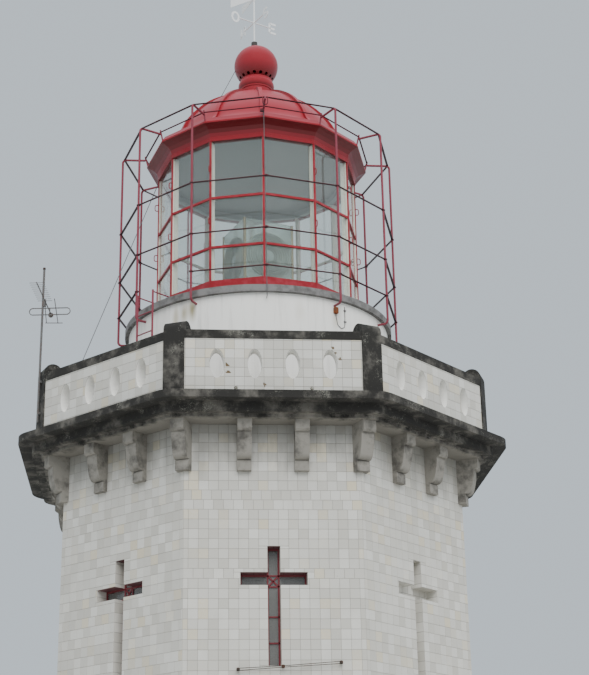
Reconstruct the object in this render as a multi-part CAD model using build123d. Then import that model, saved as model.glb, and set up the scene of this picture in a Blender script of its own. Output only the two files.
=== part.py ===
from build123d import *
import math
import os

# An octagonal lighthouse faced with white tiles: a hollow masonry tower, a gallery slab on
# brackets with a pierced parapet, a round drum, a twelve-sided lantern with its cage, a red
# dome with a ball ventilator, a weathervane and a turning optic.
# Millimetres, +Z up. The origin is on the ground at the tower's axis, and the front face
# looks along -Y. Angles are counted from the front, towards +X.

# Tower
FACE_COUNT = 8
FACE_WIDTH = 2700
WALL_THICKNESS = 500
LEDGE_HEIGHT = 9300
PLINTH_HEIGHT = 450
PLINTH_PROJECTION = 90
PLINTH_JOINT = 10
GROUND_FLOOR_THICKNESS = 150
WATCH_FLOOR_HEIGHT = 4300
WATCH_FLOOR_THICKNESS = 150
WATCH_HATCH_WIDTH = 900

# Cross windows, measured down from the ledge
CROSS_TOP_DROP = 2210
CROSS_HEIGHT = 1770
CROSS_BAR_DROP = 395
CROSS_BAR_WIDTH = 190
CROSS_SPAN = 1000
CROSS_REVEAL = 200
CROSS_FRAME_WIDTH = 26
CROSS_FRAME_DEPTH = 40
CROSS_GLASS_THICKNESS = 8

# Doors: the entrance on the back face, and one to the gallery behind the drum
ENTRANCE_WIDTH = 900
ENTRANCE_HEIGHT = 2050
ENTRANCE_REVEAL = 180
GALLERY_DOOR_WIDTH = 700
GALLERY_DOOR_HEIGHT = 1750
GALLERY_DOOR_REVEAL = 80
DOOR_THICKNESS = 50

# Gallery slab, in three steps below the ledge
BAND_APOTHEM = 4022
BAND_HEIGHT = 120
BAND_ROUNDING = 450
MOULDING_STEP = 222
MOULDING_HEIGHT = 145
MOULDING_ROUNDING = 300
FILLET_STEP = 150
FILLET_HEIGHT = 45
GALLERY_FLOOR_RISE = 85
SLAB_HATCH_RADIUS = 450

# Brackets under the slab
BRACKET_WIDTH = 220
BRACKET_HEIGHT = 750
BRACKET_PROJECTION = 320
BRACKET_CAP_HEIGHT = 180
BRACKET_CAP_BEVEL = 30
BRACKET_SCROLL_PROJECTION = 250
BRACKET_SWELL = 15
BRACKET_CURL_PROJECTION = 190
BRACKET_CURL_SHARE = 0.2
BRACKET_NECK_HEIGHT = 15
BRACKET_FOOT_HEIGHT = 155
BRACKET_FOOT_PROJECTION = 90
BRACKET_WAIST_PROJECTION = 70
FACE_BRACKET_OFFSET = 440

# Parapet
PANEL_APOTHEM = 3737
PANEL_THICKNESS = 210
PANEL_HEIGHT = 923
OVAL_WIDTH = 220
OVAL_HEIGHT = 470
OVAL_CENTRE_HEIGHT = 515
OVAL_SPACING = 580
OVALS_PER_FACE = 4
DRAIN_RADIUS = 30
DRAIN_HEIGHT = 122
DRAIN_OFFSET = 580
COPING_EDGE_HEIGHT = 137
COPING_HEIGHT = 160
COPING_OVERHANG = 13
COPING_BEVEL = 60
POST_WIDTH = 340
POST_DEPTH = 310
POST_PROUD = 25

# Drum and the lantern's floor
DRUM_RADIUS = 2310
DRUM_THICKNESS = 250
DRUM_HEIGHT = 2300
RIM_OVERHANG = 70
RIM_THICKNESS = 120
RIM_HATCH_RADIUS = 300
RIM_HATCH_PLACE = 1250

# Lantern
LANTERN_SIDES = 12
LANTERN_RADIUS = 1818
CURB_HEIGHT = 384
CURB_THICKNESS = 80
PANE_HEIGHTS = (603, 901, 1085)
PANE_THICKNESS = 10
TRANSOM_WIDTH = 40
TRANSOM_DEPTH = 50
MULLION_WIDTH = 36
MULLION_DEPTH = 140
MULLION_PROUD = 17

# Roof
CORNICE_BAND_PROUD = 27
CORNICE_BAND_HEIGHT = 87
CORNICE_FLARE = 207
CORNICE_FLARE_HEIGHT = 184
CORNICE_COVE = ((0.35, 0.10), (0.65, 0.34), (0.87, 0.68))
CORNICE_LIP_HEIGHT = 30
CORNICE_BEVEL = 67
CORNICE_BEVEL_HEIGHT = 100
CEILING_RECESS = 110
CEILING_LEDGE = 60
DOME_SETBACK = 105
DOME_HEIGHT = 1386
DOME_SHELL = 30
RIB_WIDTH = 70
RIB_HEIGHT = 40

# Ventilator
NECK_RADIUS = 300
NECK_BORE = 220
NECK_HEIGHT = 150
NECK_RING_RADIUS = 312
NECK_RING_HEIGHT = 26
BULGE_RADIUS = 342
BULGE_HEIGHT = 170
LIP_RADIUS = 310
LIP_HEIGHT = 30
BALL_RADIUS = 418
BALL_SHELL = 12
BALL_SEAT_MARGIN = 60
VENT_COUNT = 16
VENT_RADIUS = 32
VENT_DROP = 281
VENT_TURN = 12.75

# Weathervane
MAST_RADIUS = 17
MAST_HEIGHT = 1267
MAST_SINK = 12
MAST_SHIFT = -30
MAST_NUT_RADIUS = 60
MAST_NUT_HEIGHT = 132
CARDINAL_HEIGHT = 575
CARDINAL_LENGTH = 350
CARDINAL_ROD_RADIUS = 12
CARDINAL_TURN = 28
VANE_HEIGHT = 1078
VANE_COLLAR_HEIGHT = 120
VANE_COLLAR_WALL = 8
VANE_RUNNING_GAP = 1
VANE_SEAT_GAP = 0.3
VANE_STOP_HEIGHT = 12
VANE_POINTER_LENGTH = 420
VANE_HEAD_LENGTH = 110
VANE_HEAD_HEIGHT = 100
VANE_TAIL_LENGTH = 500
VANE_TAIL_HEIGHT = 170
VANE_TAIL_SPREAD = 19
VANE_PLATE = 6
VANE_TURN = 44

# Cage round the lantern
CAGE_STANDOFF = 189
CAGE_POLE_RADIUS = 20
CAGE_ELBOW_RADIUS = 65
CAGE_FOOT_DROP = 100
CAGE_HEAD_RISE = 426
CAGE_RING_HEIGHTS = (299, 990, 1948)
CAGE_BAR_WIDTH = 40
CAGE_BAR_THICKNESS = 8
CAGE_GATE_FACE = 315
CROWN_OVERHANG = 29
CROWN_RISE = 215
CROWN_LEG_RADIUS = 14
CROWN_LEG_INSET = 20
CROWN_BAR_WIDTH = 28

# Ladder to the lantern
LADDER_ANGLE = -48
LADDER_STANDOFF = 320
LADDER_WIDTH = 380
LADDER_RISE = 50
LADDER_RAIL_RADIUS = 17
LADDER_RUNG_RADIUS = 11
LADDER_RUNG_SPACING = 350
LADDER_STAY_DROP = 30
LADDER_TOP_RUNG_DROP = 350

# Lightning wire from the lantern to the parapet's left front side, and the thin rod that
# stands at the front of the cage, where a pole is missing
WIRE_RADIUS = 6
WIRE_HEAD_DROP = 60
WIRE_FACE = -45
WIRE_FOOT_OFFSET = -632
CONDUCTOR_RADIUS = 7
CONDUCTOR_STANDOFF = 120
CONDUCTOR_HEAD_SHARE = 0.65

# Optic
PEDESTAL_RADIUS = 180
PEDESTAL_FLANGE_RADIUS = 320
PEDESTAL_FLANGE_THICKNESS = 30
PIN_RADIUS = 40
PIN_HEIGHT = 60
PIN_GAP = 0.3
TABLE_GAP = 5
TABLE_RADIUS = 760
TABLE_THICKNESS = 50
TABLE_BOSS_RADIUS = 80
LENS_FOCAL_HEIGHT = 1380
LENS_DROP = 745
LENS_RISE = 680
LENS_APOTHEM = 490
LENS_THICKNESS = 36
LENS_TURN = 21
OPTIC_POST_WIDTH = 40

# Television aerial, clamped on the front left corner post
TV_POST_ANGLE = -67.5
TV_MAST_RADIUS = 19
TV_MAST_FOOT = 250
TV_MAST_TOP = 3000
TV_CLAMP_HEIGHTS = (383, 930)
TV_CLAMP_WIDTH = 90
TV_CLAMP_HEIGHT = 40
TV_STANDOFF = 12
TV_BOOM_HEIGHT = 2360
TV_BOOM_SIDE = 53
TV_BOOM_NEAR = 890
TV_BOOM_FAR = 475
TV_BOOM_TURN = -6
TV_BOOM_RADIUS = 9
TV_HOLDER_DEPTH = 50
TV_HOLDER_HEIGHT = 120
TV_DIPOLE_WIDTH = 710
TV_DIPOLE_HEIGHT = 134
TV_DIPOLE_BAR = 14
TV_DIPOLE_PLACE = 370
TV_BALL_RADIUS = 45
TV_BALL_DROP = 25
TV_FRAME_RADIUS = 7
TV_SIDE_BAR = ((30, 0), (-95, 895))
TV_CROSS_BAR = ((-115, 892), (184, 912))
TV_SPUR = ((227, -181), (102, 916))

# Worked out from the sizes above
CUT = 1
STEP_ANGLE = 360 / FACE_COUNT
LANTERN_STEP = 360 / LANTERN_SIDES
HALF_FACE = math.tan(math.pi / FACE_COUNT)
ROUND_SHARE = 1 - math.cos(math.pi / 4)
CORNER_STRETCH = 1 / math.cos(math.pi / FACE_COUNT)
TOWER_APOTHEM = FACE_WIDTH / 2 / HALF_FACE
INNER_APOTHEM = TOWER_APOTHEM - WALL_THICKNESS
MOULDING_APOTHEM = BAND_APOTHEM - MOULDING_STEP
FILLET_APOTHEM = MOULDING_APOTHEM - FILLET_STEP
WALL_TOP = LEDGE_HEIGHT - BAND_HEIGHT - MOULDING_HEIGHT - FILLET_HEIGHT
FLOOR_Z = LEDGE_HEIGHT + GALLERY_FLOOR_RISE
PANEL_INNER = PANEL_APOTHEM - PANEL_THICKNESS
COPING_TOP_Z = LEDGE_HEIGHT + PANEL_HEIGHT + COPING_HEIGHT
POST_FRONT_RADIUS = PANEL_APOTHEM * CORNER_STRETCH - POST_WIDTH / 2 * HALF_FACE + POST_PROUD
DRUM_TOP_Z = LEDGE_HEIGHT + DRUM_HEIGHT
RIM_RADIUS = DRUM_RADIUS + RIM_OVERHANG
RIM_Z = DRUM_TOP_Z + RIM_THICKNESS
LANTERN_APOTHEM = LANTERN_RADIUS * math.cos(math.pi / LANTERN_SIDES)
CURB_TOP_Z = RIM_Z + CURB_HEIGHT
GLASS_TOP_Z = CURB_TOP_Z + sum(PANE_HEIGHTS) + TRANSOM_WIDTH * (len(PANE_HEIGHTS) - 1)
CORNICE_BAND_RADIUS = LANTERN_RADIUS + CORNICE_BAND_PROUD
CORNICE_RIM_RADIUS = CORNICE_BAND_RADIUS + CORNICE_FLARE
CORNICE_RIM_Z = GLASS_TOP_Z + CORNICE_BAND_HEIGHT + CORNICE_FLARE_HEIGHT
CORNICE_TOP_RADIUS = CORNICE_RIM_RADIUS - CORNICE_BEVEL
CORNICE_TOP_Z = CORNICE_RIM_Z + CORNICE_LIP_HEIGHT + CORNICE_BEVEL_HEIGHT
CEILING_RADIUS = LANTERN_RADIUS + MULLION_PROUD - MULLION_DEPTH - CEILING_LEDGE
DOME_FOOT_RADIUS = CORNICE_TOP_RADIUS - DOME_SETBACK
DOME_TOP_Z = CORNICE_TOP_Z + DOME_HEIGHT
NECK_TOP_Z = DOME_TOP_Z + NECK_HEIGHT
COLLAR_TOP_Z = NECK_TOP_Z + NECK_RING_HEIGHT + BULGE_HEIGHT + LIP_HEIGHT
BALL_Z = COLLAR_TOP_Z + math.sqrt(BALL_RADIUS ** 2 - (LIP_RADIUS - BALL_SEAT_MARGIN) ** 2)
BALL_TOP_Z = BALL_Z + BALL_RADIUS
CAGE_RADIUS = DRUM_RADIUS + CAGE_STANDOFF
CAGE_FOOT_Z = DRUM_TOP_Z - CAGE_FOOT_DROP
CAGE_HEAD_Z = GLASS_TOP_Z + CAGE_HEAD_RISE
CROWN_RADIUS = CORNICE_RIM_RADIUS + CROWN_OVERHANG
CROWN_Z = CORNICE_RIM_Z + CROWN_RISE
CROWN_LEG_Z = CORNICE_RIM_Z + CORNICE_LIP_HEIGHT
LADDER_RADIUS = RIM_RADIUS + LADDER_STANDOFF
LADDER_HEAD_Z = RIM_Z + LADDER_RISE
LADDER_STAY_Z = LADDER_HEAD_Z - LADDER_STAY_DROP
FOCAL_Z = RIM_Z + LENS_FOCAL_HEIGHT
TABLE_TOP_Z = FOCAL_Z - LENS_DROP
TABLE_BOTTOM_Z = TABLE_TOP_Z - TABLE_THICKNESS
PEDESTAL_TOP_Z = TABLE_BOTTOM_Z - TABLE_GAP
TV_REACH = POST_FRONT_RADIUS + TV_STANDOFF + TV_MAST_RADIUS

FACE_NAMES = ("front", "front_right", "right", "back_right", "back", "back_left", "left", "front_left")
FACE_ANGLES = {name: index * STEP_ANGLE for index, name in enumerate(FACE_NAMES)}
BLIND_FACES = ("front_right", "back_left")
CORNER_ANGLES = [angle + STEP_ANGLE / 2 for angle in FACE_ANGLES.values()]
LANTERN_CORNERS = [side * LANTERN_STEP for side in range(LANTERN_SIDES)]
LANTERN_FACES = [angle + LANTERN_STEP / 2 for angle in LANTERN_CORNERS]
POLE_ANGLES = LANTERN_CORNERS[1:]


def turn(shape, angle):
    """Swings a piece made at the front round the tower's axis."""
    return shape.rotate(Axis.Z, angle)


def place(radius, angle, height):
    """A point at a radius, an angle from the front and a height."""
    bearing = math.radians(angle)
    return Vector(radius * math.sin(bearing), -radius * math.cos(bearing), height)


def ring_side(apothem, depth, bottom, top, sides=FACE_COUNT):
    """The front side of a ring of flat sides, with mitred ends."""
    slope = math.tan(math.pi / sides)
    inner = apothem - depth
    plan = Polygon(
        (-apothem * slope, -apothem), (apothem * slope, -apothem),
        (inner * slope, -inner), (-inner * slope, -inner), align=None)
    return Pos(0, 0, bottom) * extrude(plan, top - bottom)


def plate(apothem, bottom, top, rounding=0):
    """A flat octagonal plate about the axis, with rounded corners where a rounding is given."""
    corners = [place(apothem * CORNER_STRETCH, angle, 0) for angle in CORNER_ANGLES]
    plan = Polygon(*[(corner.X, corner.Y) for corner in corners], align=None)
    if rounding:
        plan = fillet(plan.vertices(), rounding)
    return Pos(0, 0, bottom) * extrude(plan, top - bottom)


def side_profile(points, width):
    """A piece with this outline seen from the right, outwards from the axis to the front."""
    outline = Polygon(*points, align=None)
    return extrude(Plane.YZ * scale(outline, by=(-1, 1, 1)), width / 2, both=True)


def disc(radius, bottom, top):
    """A round plate or post about the axis."""
    return Pos(0, 0, bottom) * Cylinder(radius, top - bottom, align=(Align.CENTER, Align.CENTER, Align.MIN))


def rod(start, end, radius):
    """A straight round bar between two points."""
    run = end - start
    plane = Plane(origin=start, z_dir=run)
    return plane * Cylinder(radius, run.length, align=(Align.CENTER, Align.CENTER, Align.MIN))


def block(width, near, far, bottom, top):
    """A box at the front, as wide as given, between two distances from the axis."""
    return Pos(0, -(near + far) / 2, (bottom + top) / 2) * Box(width, far - near, top - bottom)


def cross_outline(inset=0):
    """The cross window's outline on the front face, smaller all round by the inset."""
    top = LEDGE_HEIGHT - CROSS_TOP_DROP
    bottom = top - CROSS_HEIGHT
    upper = top - CROSS_BAR_DROP
    lower = upper - CROSS_BAR_WIDTH
    half = CROSS_BAR_WIDTH / 2 - inset
    arm = CROSS_SPAN / 2 - inset
    return [
        (-half, bottom + inset), (half, bottom + inset), (half, lower + inset), (arm, lower + inset),
        (arm, upper - inset), (half, upper - inset), (half, top - inset), (-half, top - inset),
        (-half, upper - inset), (-arm, upper - inset), (-arm, lower + inset), (-half, lower + inset)]


def cross_block(near, far, inset=0):
    """A cross-shaped block at the front between two distances from the axis."""
    outline = Plane.XZ * Polygon(*cross_outline(inset), align=None)
    return Pos(0, -near, 0) * extrude(outline, far - near)


def wall_face(name):
    """One side of the tower, with its cross and, at the back, the entrance."""
    wall = ring_side(TOWER_APOTHEM, WALL_THICKNESS, 0, WALL_TOP)
    if name in BLIND_FACES:
        wall -= cross_block(TOWER_APOTHEM - CROSS_REVEAL, TOWER_APOTHEM + CUT)
    else:
        wall -= cross_block(INNER_APOTHEM - CUT, TOWER_APOTHEM + CUT)
    if name == "back":
        wall -= block(ENTRANCE_WIDTH, INNER_APOTHEM - CUT, TOWER_APOTHEM + CUT,
                      GROUND_FLOOR_THICKNESS, GROUND_FLOOR_THICKNESS + ENTRANCE_HEIGHT)
    return turn(wall, FACE_ANGLES[name])


def plinth_stones():
    """Base course round the foot of the walls, one stone a side with an open joint between."""
    outer = TOWER_APOTHEM + PLINTH_PROJECTION
    stones = []
    for name, angle in FACE_ANGLES.items():
        stone = ring_side(outer, PLINTH_PROJECTION, 0, PLINTH_HEIGHT)
        joint = block(PLINTH_JOINT, TOWER_APOTHEM, outer * CORNER_STRETCH + CUT, -CUT, PLINTH_HEIGHT + CUT)
        for corner in (-STEP_ANGLE / 2, STEP_ANGLE / 2):
            stone -= turn(joint, corner)
        if name == "back":
            stone -= block(ENTRANCE_WIDTH, TOWER_APOTHEM - CUT, outer + CUT,
                           GROUND_FLOOR_THICKNESS, PLINTH_HEIGHT + CUT)
        stones.append(turn(stone, angle))
    return stones


def ground_floor():
    return plate(INNER_APOTHEM, 0, GROUND_FLOOR_THICKNESS)


def watch_room_floor():
    """Floor of the room behind the cross windows, with a hatch."""
    floor = plate(INNER_APOTHEM, WATCH_FLOOR_HEIGHT - WATCH_FLOOR_THICKNESS, WATCH_FLOOR_HEIGHT)
    hatch = Pos(0, INNER_APOTHEM / 2, WATCH_FLOOR_HEIGHT) * Box(
        WATCH_HATCH_WIDTH, WATCH_HATCH_WIDTH, 3 * WATCH_FLOOR_THICKNESS)
    return floor - hatch


def glazed_faces():
    return [angle for name, angle in FACE_ANGLES.items() if name not in BLIND_FACES]


def cross_window_frames():
    """Metal frames set back in the glazed crosses."""
    outer = TOWER_APOTHEM - CROSS_REVEAL
    frame = cross_block(outer - CROSS_FRAME_DEPTH, outer)
    frame -= cross_block(outer - CROSS_FRAME_DEPTH - CUT, outer + CUT, CROSS_FRAME_WIDTH)
    return [turn(frame, angle) for angle in glazed_faces()]


def cross_window_glass():
    inner = TOWER_APOTHEM - CROSS_REVEAL - (CROSS_FRAME_DEPTH + CROSS_GLASS_THICKNESS) / 2
    pane = cross_block(inner, inner + CROSS_GLASS_THICKNESS, CROSS_FRAME_WIDTH)
    return [turn(pane, angle) for angle in glazed_faces()]


def doors():
    """Plain closed leaves of the entrance and of the door to the gallery, both at the back."""
    outer = TOWER_APOTHEM - ENTRANCE_REVEAL
    entrance = block(ENTRANCE_WIDTH, outer - DOOR_THICKNESS, outer,
                     GROUND_FLOOR_THICKNESS, GROUND_FLOOR_THICKNESS + ENTRANCE_HEIGHT)
    outer = math.sqrt(DRUM_RADIUS ** 2 - (GALLERY_DOOR_WIDTH / 2) ** 2) - GALLERY_DOOR_REVEAL
    gallery = block(GALLERY_DOOR_WIDTH, outer - DOOR_THICKNESS, outer, FLOOR_Z, FLOOR_Z + GALLERY_DOOR_HEIGHT)
    return [turn(entrance, FACE_ANGLES["back"]), turn(gallery, FACE_ANGLES["back"])]


def bracket(wall):
    """Bracket at the front: a bevelled cap, a bulging scroll with a round lower end, and a foot."""
    top = WALL_TOP
    bottom = top - BRACKET_HEIGHT
    cap = top - BRACKET_CAP_HEIGHT
    foot = bottom + BRACKET_FOOT_HEIGHT
    neck = foot + BRACKET_NECK_HEIGHT
    scroll = cap - foot
    root = wall - WALL_THICKNESS / 2
    outer = wall + BRACKET_PROJECTION
    belly = wall + BRACKET_SCROLL_PROJECTION
    curl = wall + BRACKET_CURL_PROJECTION
    curl_z = foot + scroll * BRACKET_CURL_SHARE
    waist = wall + BRACKET_WAIST_PROJECTION
    heel = wall + BRACKET_FOOT_PROJECTION
    edges = Polyline(
        (waist, neck), (waist, foot), (heel, foot), (heel, bottom), (root, bottom), (root, top), (outer, top),
        (outer, cap + BRACKET_CAP_BEVEL), (outer - BRACKET_CAP_BEVEL, cap), (belly, cap))
    swell = ThreePointArc(
        (belly, cap), ((belly + curl) / 2 + BRACKET_SWELL, (cap + curl_z) / 2), (curl, curl_z))
    round_end = ThreePointArc(
        (curl, curl_z),
        (curl - (curl - waist) * ROUND_SHARE, neck + (curl_z - neck) * ROUND_SHARE),
        (waist, neck))
    side = Plane(origin=(0, 0, 0), x_dir=(0, -1, 0), z_dir=(-1, 0, 0))
    return extrude(side * make_face(edges + swell + round_end), BRACKET_WIDTH / 2, both=True)


def tower_core():
    """The tower's outer prism, which brackets are cut back to."""
    return plate(TOWER_APOTHEM, 0, WALL_TOP)


def corner_brackets():
    half = STEP_ANGLE / 2
    shape = turn(turn(bracket(TOWER_APOTHEM * CORNER_STRETCH), half) - tower_core(), -half)
    return [turn(shape, angle) for angle in CORNER_ANGLES]


def face_brackets():
    shape = bracket(TOWER_APOTHEM) - tower_core()
    pieces = []
    for angle in FACE_ANGLES.values():
        for offset in (-FACE_BRACKET_OFFSET, FACE_BRACKET_OFFSET):
            pieces.append(turn(Pos(offset, 0, 0) * shape, angle))
    return pieces


def corner_post():
    """Square post with a half-round top, at the front."""
    inner = POST_FRONT_RADIUS - POST_DEPTH
    shaft = block(POST_WIDTH, inner, POST_FRONT_RADIUS, LEDGE_HEIGHT, COPING_TOP_Z)
    head = Rot(0, 90, 0) * Cylinder(POST_DEPTH / 2, POST_WIDTH)
    return shaft + Pos(0, -(inner + POST_DEPTH / 2), COPING_TOP_Z) * head


def corner_posts():
    return [turn(corner_post(), angle) for angle in CORNER_ANGLES]


def post_slots(shape):
    """Cuts a front parapet piece back to the sides of the two posts beside it."""
    slot = block(POST_WIDTH, PANEL_INNER - PANEL_THICKNESS, POST_FRONT_RADIUS + PANEL_THICKNESS,
                 LEDGE_HEIGHT - CUT, COPING_TOP_Z + CUT)
    return shape - turn(slot, -STEP_ANGLE / 2) - turn(slot, STEP_ANGLE / 2)


def parapet_panels():
    """One pierced panel a side, between the corner posts."""
    top = LEDGE_HEIGHT + PANEL_HEIGHT
    panel = post_slots(ring_side(PANEL_APOTHEM, PANEL_THICKNESS, LEDGE_HEIGHT, top))
    oval = Pos(0, -PANEL_INNER + CUT, LEDGE_HEIGHT + OVAL_CENTRE_HEIGHT) * extrude(
        Plane.XZ * Ellipse(OVAL_WIDTH / 2, OVAL_HEIGHT / 2), PANEL_THICKNESS + 2 * CUT)
    for index in range(OVALS_PER_FACE):
        panel -= Pos((index - (OVALS_PER_FACE - 1) / 2) * OVAL_SPACING, 0, 0) * oval
    for offset in (-DRAIN_OFFSET, DRAIN_OFFSET):
        panel -= rod(Vector(offset, -PANEL_INNER + CUT, LEDGE_HEIGHT + DRAIN_HEIGHT),
                     Vector(offset, -PANEL_APOTHEM - CUT, LEDGE_HEIGHT + DRAIN_HEIGHT), DRAIN_RADIUS)
    return [turn(panel, angle) for angle in FACE_ANGLES.values()]


def parapet_coping():
    """Cap stones on the panels, with a sloped outer edge."""
    bottom = LEDGE_HEIGHT + PANEL_HEIGHT
    outer = PANEL_APOTHEM + COPING_OVERHANG
    inner = PANEL_INNER - COPING_OVERHANG
    stone = ring_side(outer, outer - inner, bottom, COPING_TOP_Z)
    sharp = side_profile([(outer - COPING_BEVEL, COPING_TOP_Z), (outer, bottom + COPING_EDGE_HEIGHT),
                          (outer + COPING_BEVEL, bottom + COPING_EDGE_HEIGHT),
                          (outer + COPING_BEVEL, COPING_TOP_Z + COPING_BEVEL),
                          (outer - COPING_BEVEL, COPING_TOP_Z + COPING_BEVEL)], 2 * FACE_WIDTH)
    stone = post_slots(stone - sharp)
    return [turn(stone, angle) for angle in FACE_ANGLES.values()]


def gallery_slab():
    """Stepped slab that carries the gallery, with the stair hatch in the middle."""
    band_bottom = LEDGE_HEIGHT - BAND_HEIGHT
    moulding_bottom = band_bottom - MOULDING_HEIGHT
    slab = plate(FILLET_APOTHEM, WALL_TOP, moulding_bottom, MOULDING_ROUNDING)
    slab += plate(MOULDING_APOTHEM, moulding_bottom, band_bottom, MOULDING_ROUNDING)
    slab += plate(BAND_APOTHEM, band_bottom, LEDGE_HEIGHT, BAND_ROUNDING)
    floor = plate(PANEL_INNER, LEDGE_HEIGHT, FLOOR_Z)
    for post in corner_posts():
        floor -= post
    slab += floor
    return slab - disc(SLAB_HATCH_RADIUS, WALL_TOP - CUT, FLOOR_Z + CUT)


def drum_half(front):
    """Half of the round wall under the lantern; the back half has the gallery door."""
    ring = disc(DRUM_RADIUS, FLOOR_Z, DRUM_TOP_Z)
    ring -= disc(DRUM_RADIUS - DRUM_THICKNESS, FLOOR_Z - CUT, DRUM_TOP_Z + CUT)
    size = 2 * (DRUM_RADIUS + CUT)
    side = -1 if front else 1
    half = ring & (Pos(0, side * size / 2, FLOOR_Z) * Box(size, size, 2 * DRUM_HEIGHT))
    if not front:
        doorway = block(GALLERY_DOOR_WIDTH, DRUM_RADIUS - 2 * DRUM_THICKNESS, DRUM_RADIUS + CUT,
                        FLOOR_Z - CUT, FLOOR_Z + GALLERY_DOOR_HEIGHT)
        half -= turn(doorway, FACE_ANGLES["back"])
    return half


def lantern_floor():
    """Round slab on the drum, whose edge is the grey rim, with a hatch behind the optic."""
    slab = disc(RIM_RADIUS, DRUM_TOP_Z, RIM_Z)
    return slab - Pos(0, RIM_HATCH_PLACE, 0) * disc(RIM_HATCH_RADIUS, DRUM_TOP_Z - CUT, RIM_Z + CUT)


def mullion(extra=0):
    """Glazing post at a lantern corner, at the front."""
    outer = LANTERN_RADIUS + MULLION_PROUD
    return block(MULLION_WIDTH, outer - MULLION_DEPTH - extra, outer + extra, RIM_Z, GLASS_TOP_Z)


def lantern_mullions():
    return [turn(mullion(), angle) for angle in LANTERN_CORNERS]


def lantern_sides(apothem, depth, bottom, top):
    """Twelve like pieces, one between each pair of glazing posts."""
    side = ring_side(apothem, depth, bottom, top, LANTERN_SIDES)
    for corner in (-LANTERN_STEP / 2, LANTERN_STEP / 2):
        side -= turn(mullion(MULLION_DEPTH), corner)
    return [turn(side, angle) for angle in LANTERN_FACES]


def lantern_curb():
    return lantern_sides(LANTERN_APOTHEM + MULLION_PROUD / 2, CURB_THICKNESS, RIM_Z, CURB_TOP_Z)


def pane_bottoms():
    """Height of the foot of each row of panes."""
    return [CURB_TOP_Z + sum(PANE_HEIGHTS[:row]) + TRANSOM_WIDTH * row for row in range(len(PANE_HEIGHTS))]


def lantern_transoms():
    outer = LANTERN_APOTHEM + MULLION_PROUD / 2
    bars = []
    for bottom in pane_bottoms()[1:]:
        bars += lantern_sides(outer, TRANSOM_DEPTH, bottom - TRANSOM_WIDTH, bottom)
    return bars


def lantern_glass():
    """Three rows of flat panes."""
    panes = []
    for bottom, height in zip(pane_bottoms(), PANE_HEIGHTS):
        panes += lantern_sides(LANTERN_APOTHEM - MULLION_PROUD, PANE_THICKNESS, bottom, bottom + height)
    return panes


def lantern_polygon(radius):
    """Plan of a lantern-shaped ring, from its corner radius."""
    corners = [place(radius, angle, 0) for angle in LANTERN_CORNERS]
    return Polygon(*[(corner.X, corner.Y) for corner in corners], align=None)


def lantern_loft(lower_radius, upper_radius, bottom, top):
    """A twelve-sided block that widens or narrows upwards."""
    lower = Pos(0, 0, bottom) * lantern_polygon(lower_radius)
    upper = Pos(0, 0, top) * lantern_polygon(upper_radius)
    return loft([lower, upper], ruled=True)


def roof_cornice():
    """Band, hollow soffit, lip and bevel at the foot of the roof, closed by the ceiling."""
    band_top = GLASS_TOP_Z + CORNICE_BAND_HEIGHT
    lip_top = CORNICE_RIM_Z + CORNICE_LIP_HEIGHT
    cornice = lantern_loft(CORNICE_BAND_RADIUS, CORNICE_BAND_RADIUS, GLASS_TOP_Z, band_top)
    cove = [(0, 0), *CORNICE_COVE, (1, 1)]
    rings = [(CORNICE_BAND_RADIUS + CORNICE_FLARE * out, band_top + CORNICE_FLARE_HEIGHT * up)
             for up, out in cove]
    for (lower_radius, lower_z), (upper_radius, upper_z) in zip(rings, rings[1:]):
        cornice += lantern_loft(lower_radius, upper_radius, lower_z, upper_z)
    cornice += lantern_loft(CORNICE_RIM_RADIUS, CORNICE_RIM_RADIUS, CORNICE_RIM_Z, lip_top)
    cornice += lantern_loft(CORNICE_RIM_RADIUS, CORNICE_TOP_RADIUS, lip_top, CORNICE_TOP_Z)
    recess = lantern_loft(CEILING_RADIUS, CEILING_RADIUS, GLASS_TOP_Z - CUT, GLASS_TOP_Z + CEILING_RECESS)
    return cornice - recess


def dome_points(rise):
    """The dome's outline from foot to neck, moved out by the rise."""
    shares = [(1.0, 0.0), (0.955, 0.045), (0.880, 0.125), (0.815, 0.290), (0.742, 0.440),
              (0.625, 0.620), (0.466, 0.790), (0.320, 0.900)]
    points = [(DOME_FOOT_RADIUS * across + rise, CORNICE_TOP_Z + DOME_HEIGHT * up + rise * up)
              for across, up in shares]
    return points + [(NECK_RADIUS, DOME_TOP_Z + rise)]


def dome_face(rise):
    """Half section of everything under the dome's outline."""
    points = dome_points(rise)
    first = points[0]
    last = points[-1]
    lines = Polyline(last, (0, last[1]), (0, first[1]), first)
    return make_face(Spline(*points) + lines)


def dome_body(rise):
    return revolve(Plane.XZ * dome_face(rise), Axis.Z)


def roof_dome():
    """Thin shell of the dome, open at the neck."""
    shell = dome_body(0) - dome_body(-DOME_SHELL)
    return shell - disc(NECK_BORE, CORNICE_TOP_Z + CUT, NECK_TOP_Z)


def roof_ribs():
    """Raised ribs on the dome, over the lantern's corners."""
    side = Plane(origin=(0, 0, 0), x_dir=(0, -1, 0), z_dir=(-1, 0, 0))
    rib = extrude(side * dome_face(RIB_HEIGHT), RIB_WIDTH / 2, both=True)
    rib -= dome_body(0)
    rib -= disc(NECK_RADIUS + 2 * RIB_HEIGHT, CORNICE_TOP_Z, NECK_TOP_Z)
    return [turn(rib, angle) for angle in LANTERN_CORNERS]


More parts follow.
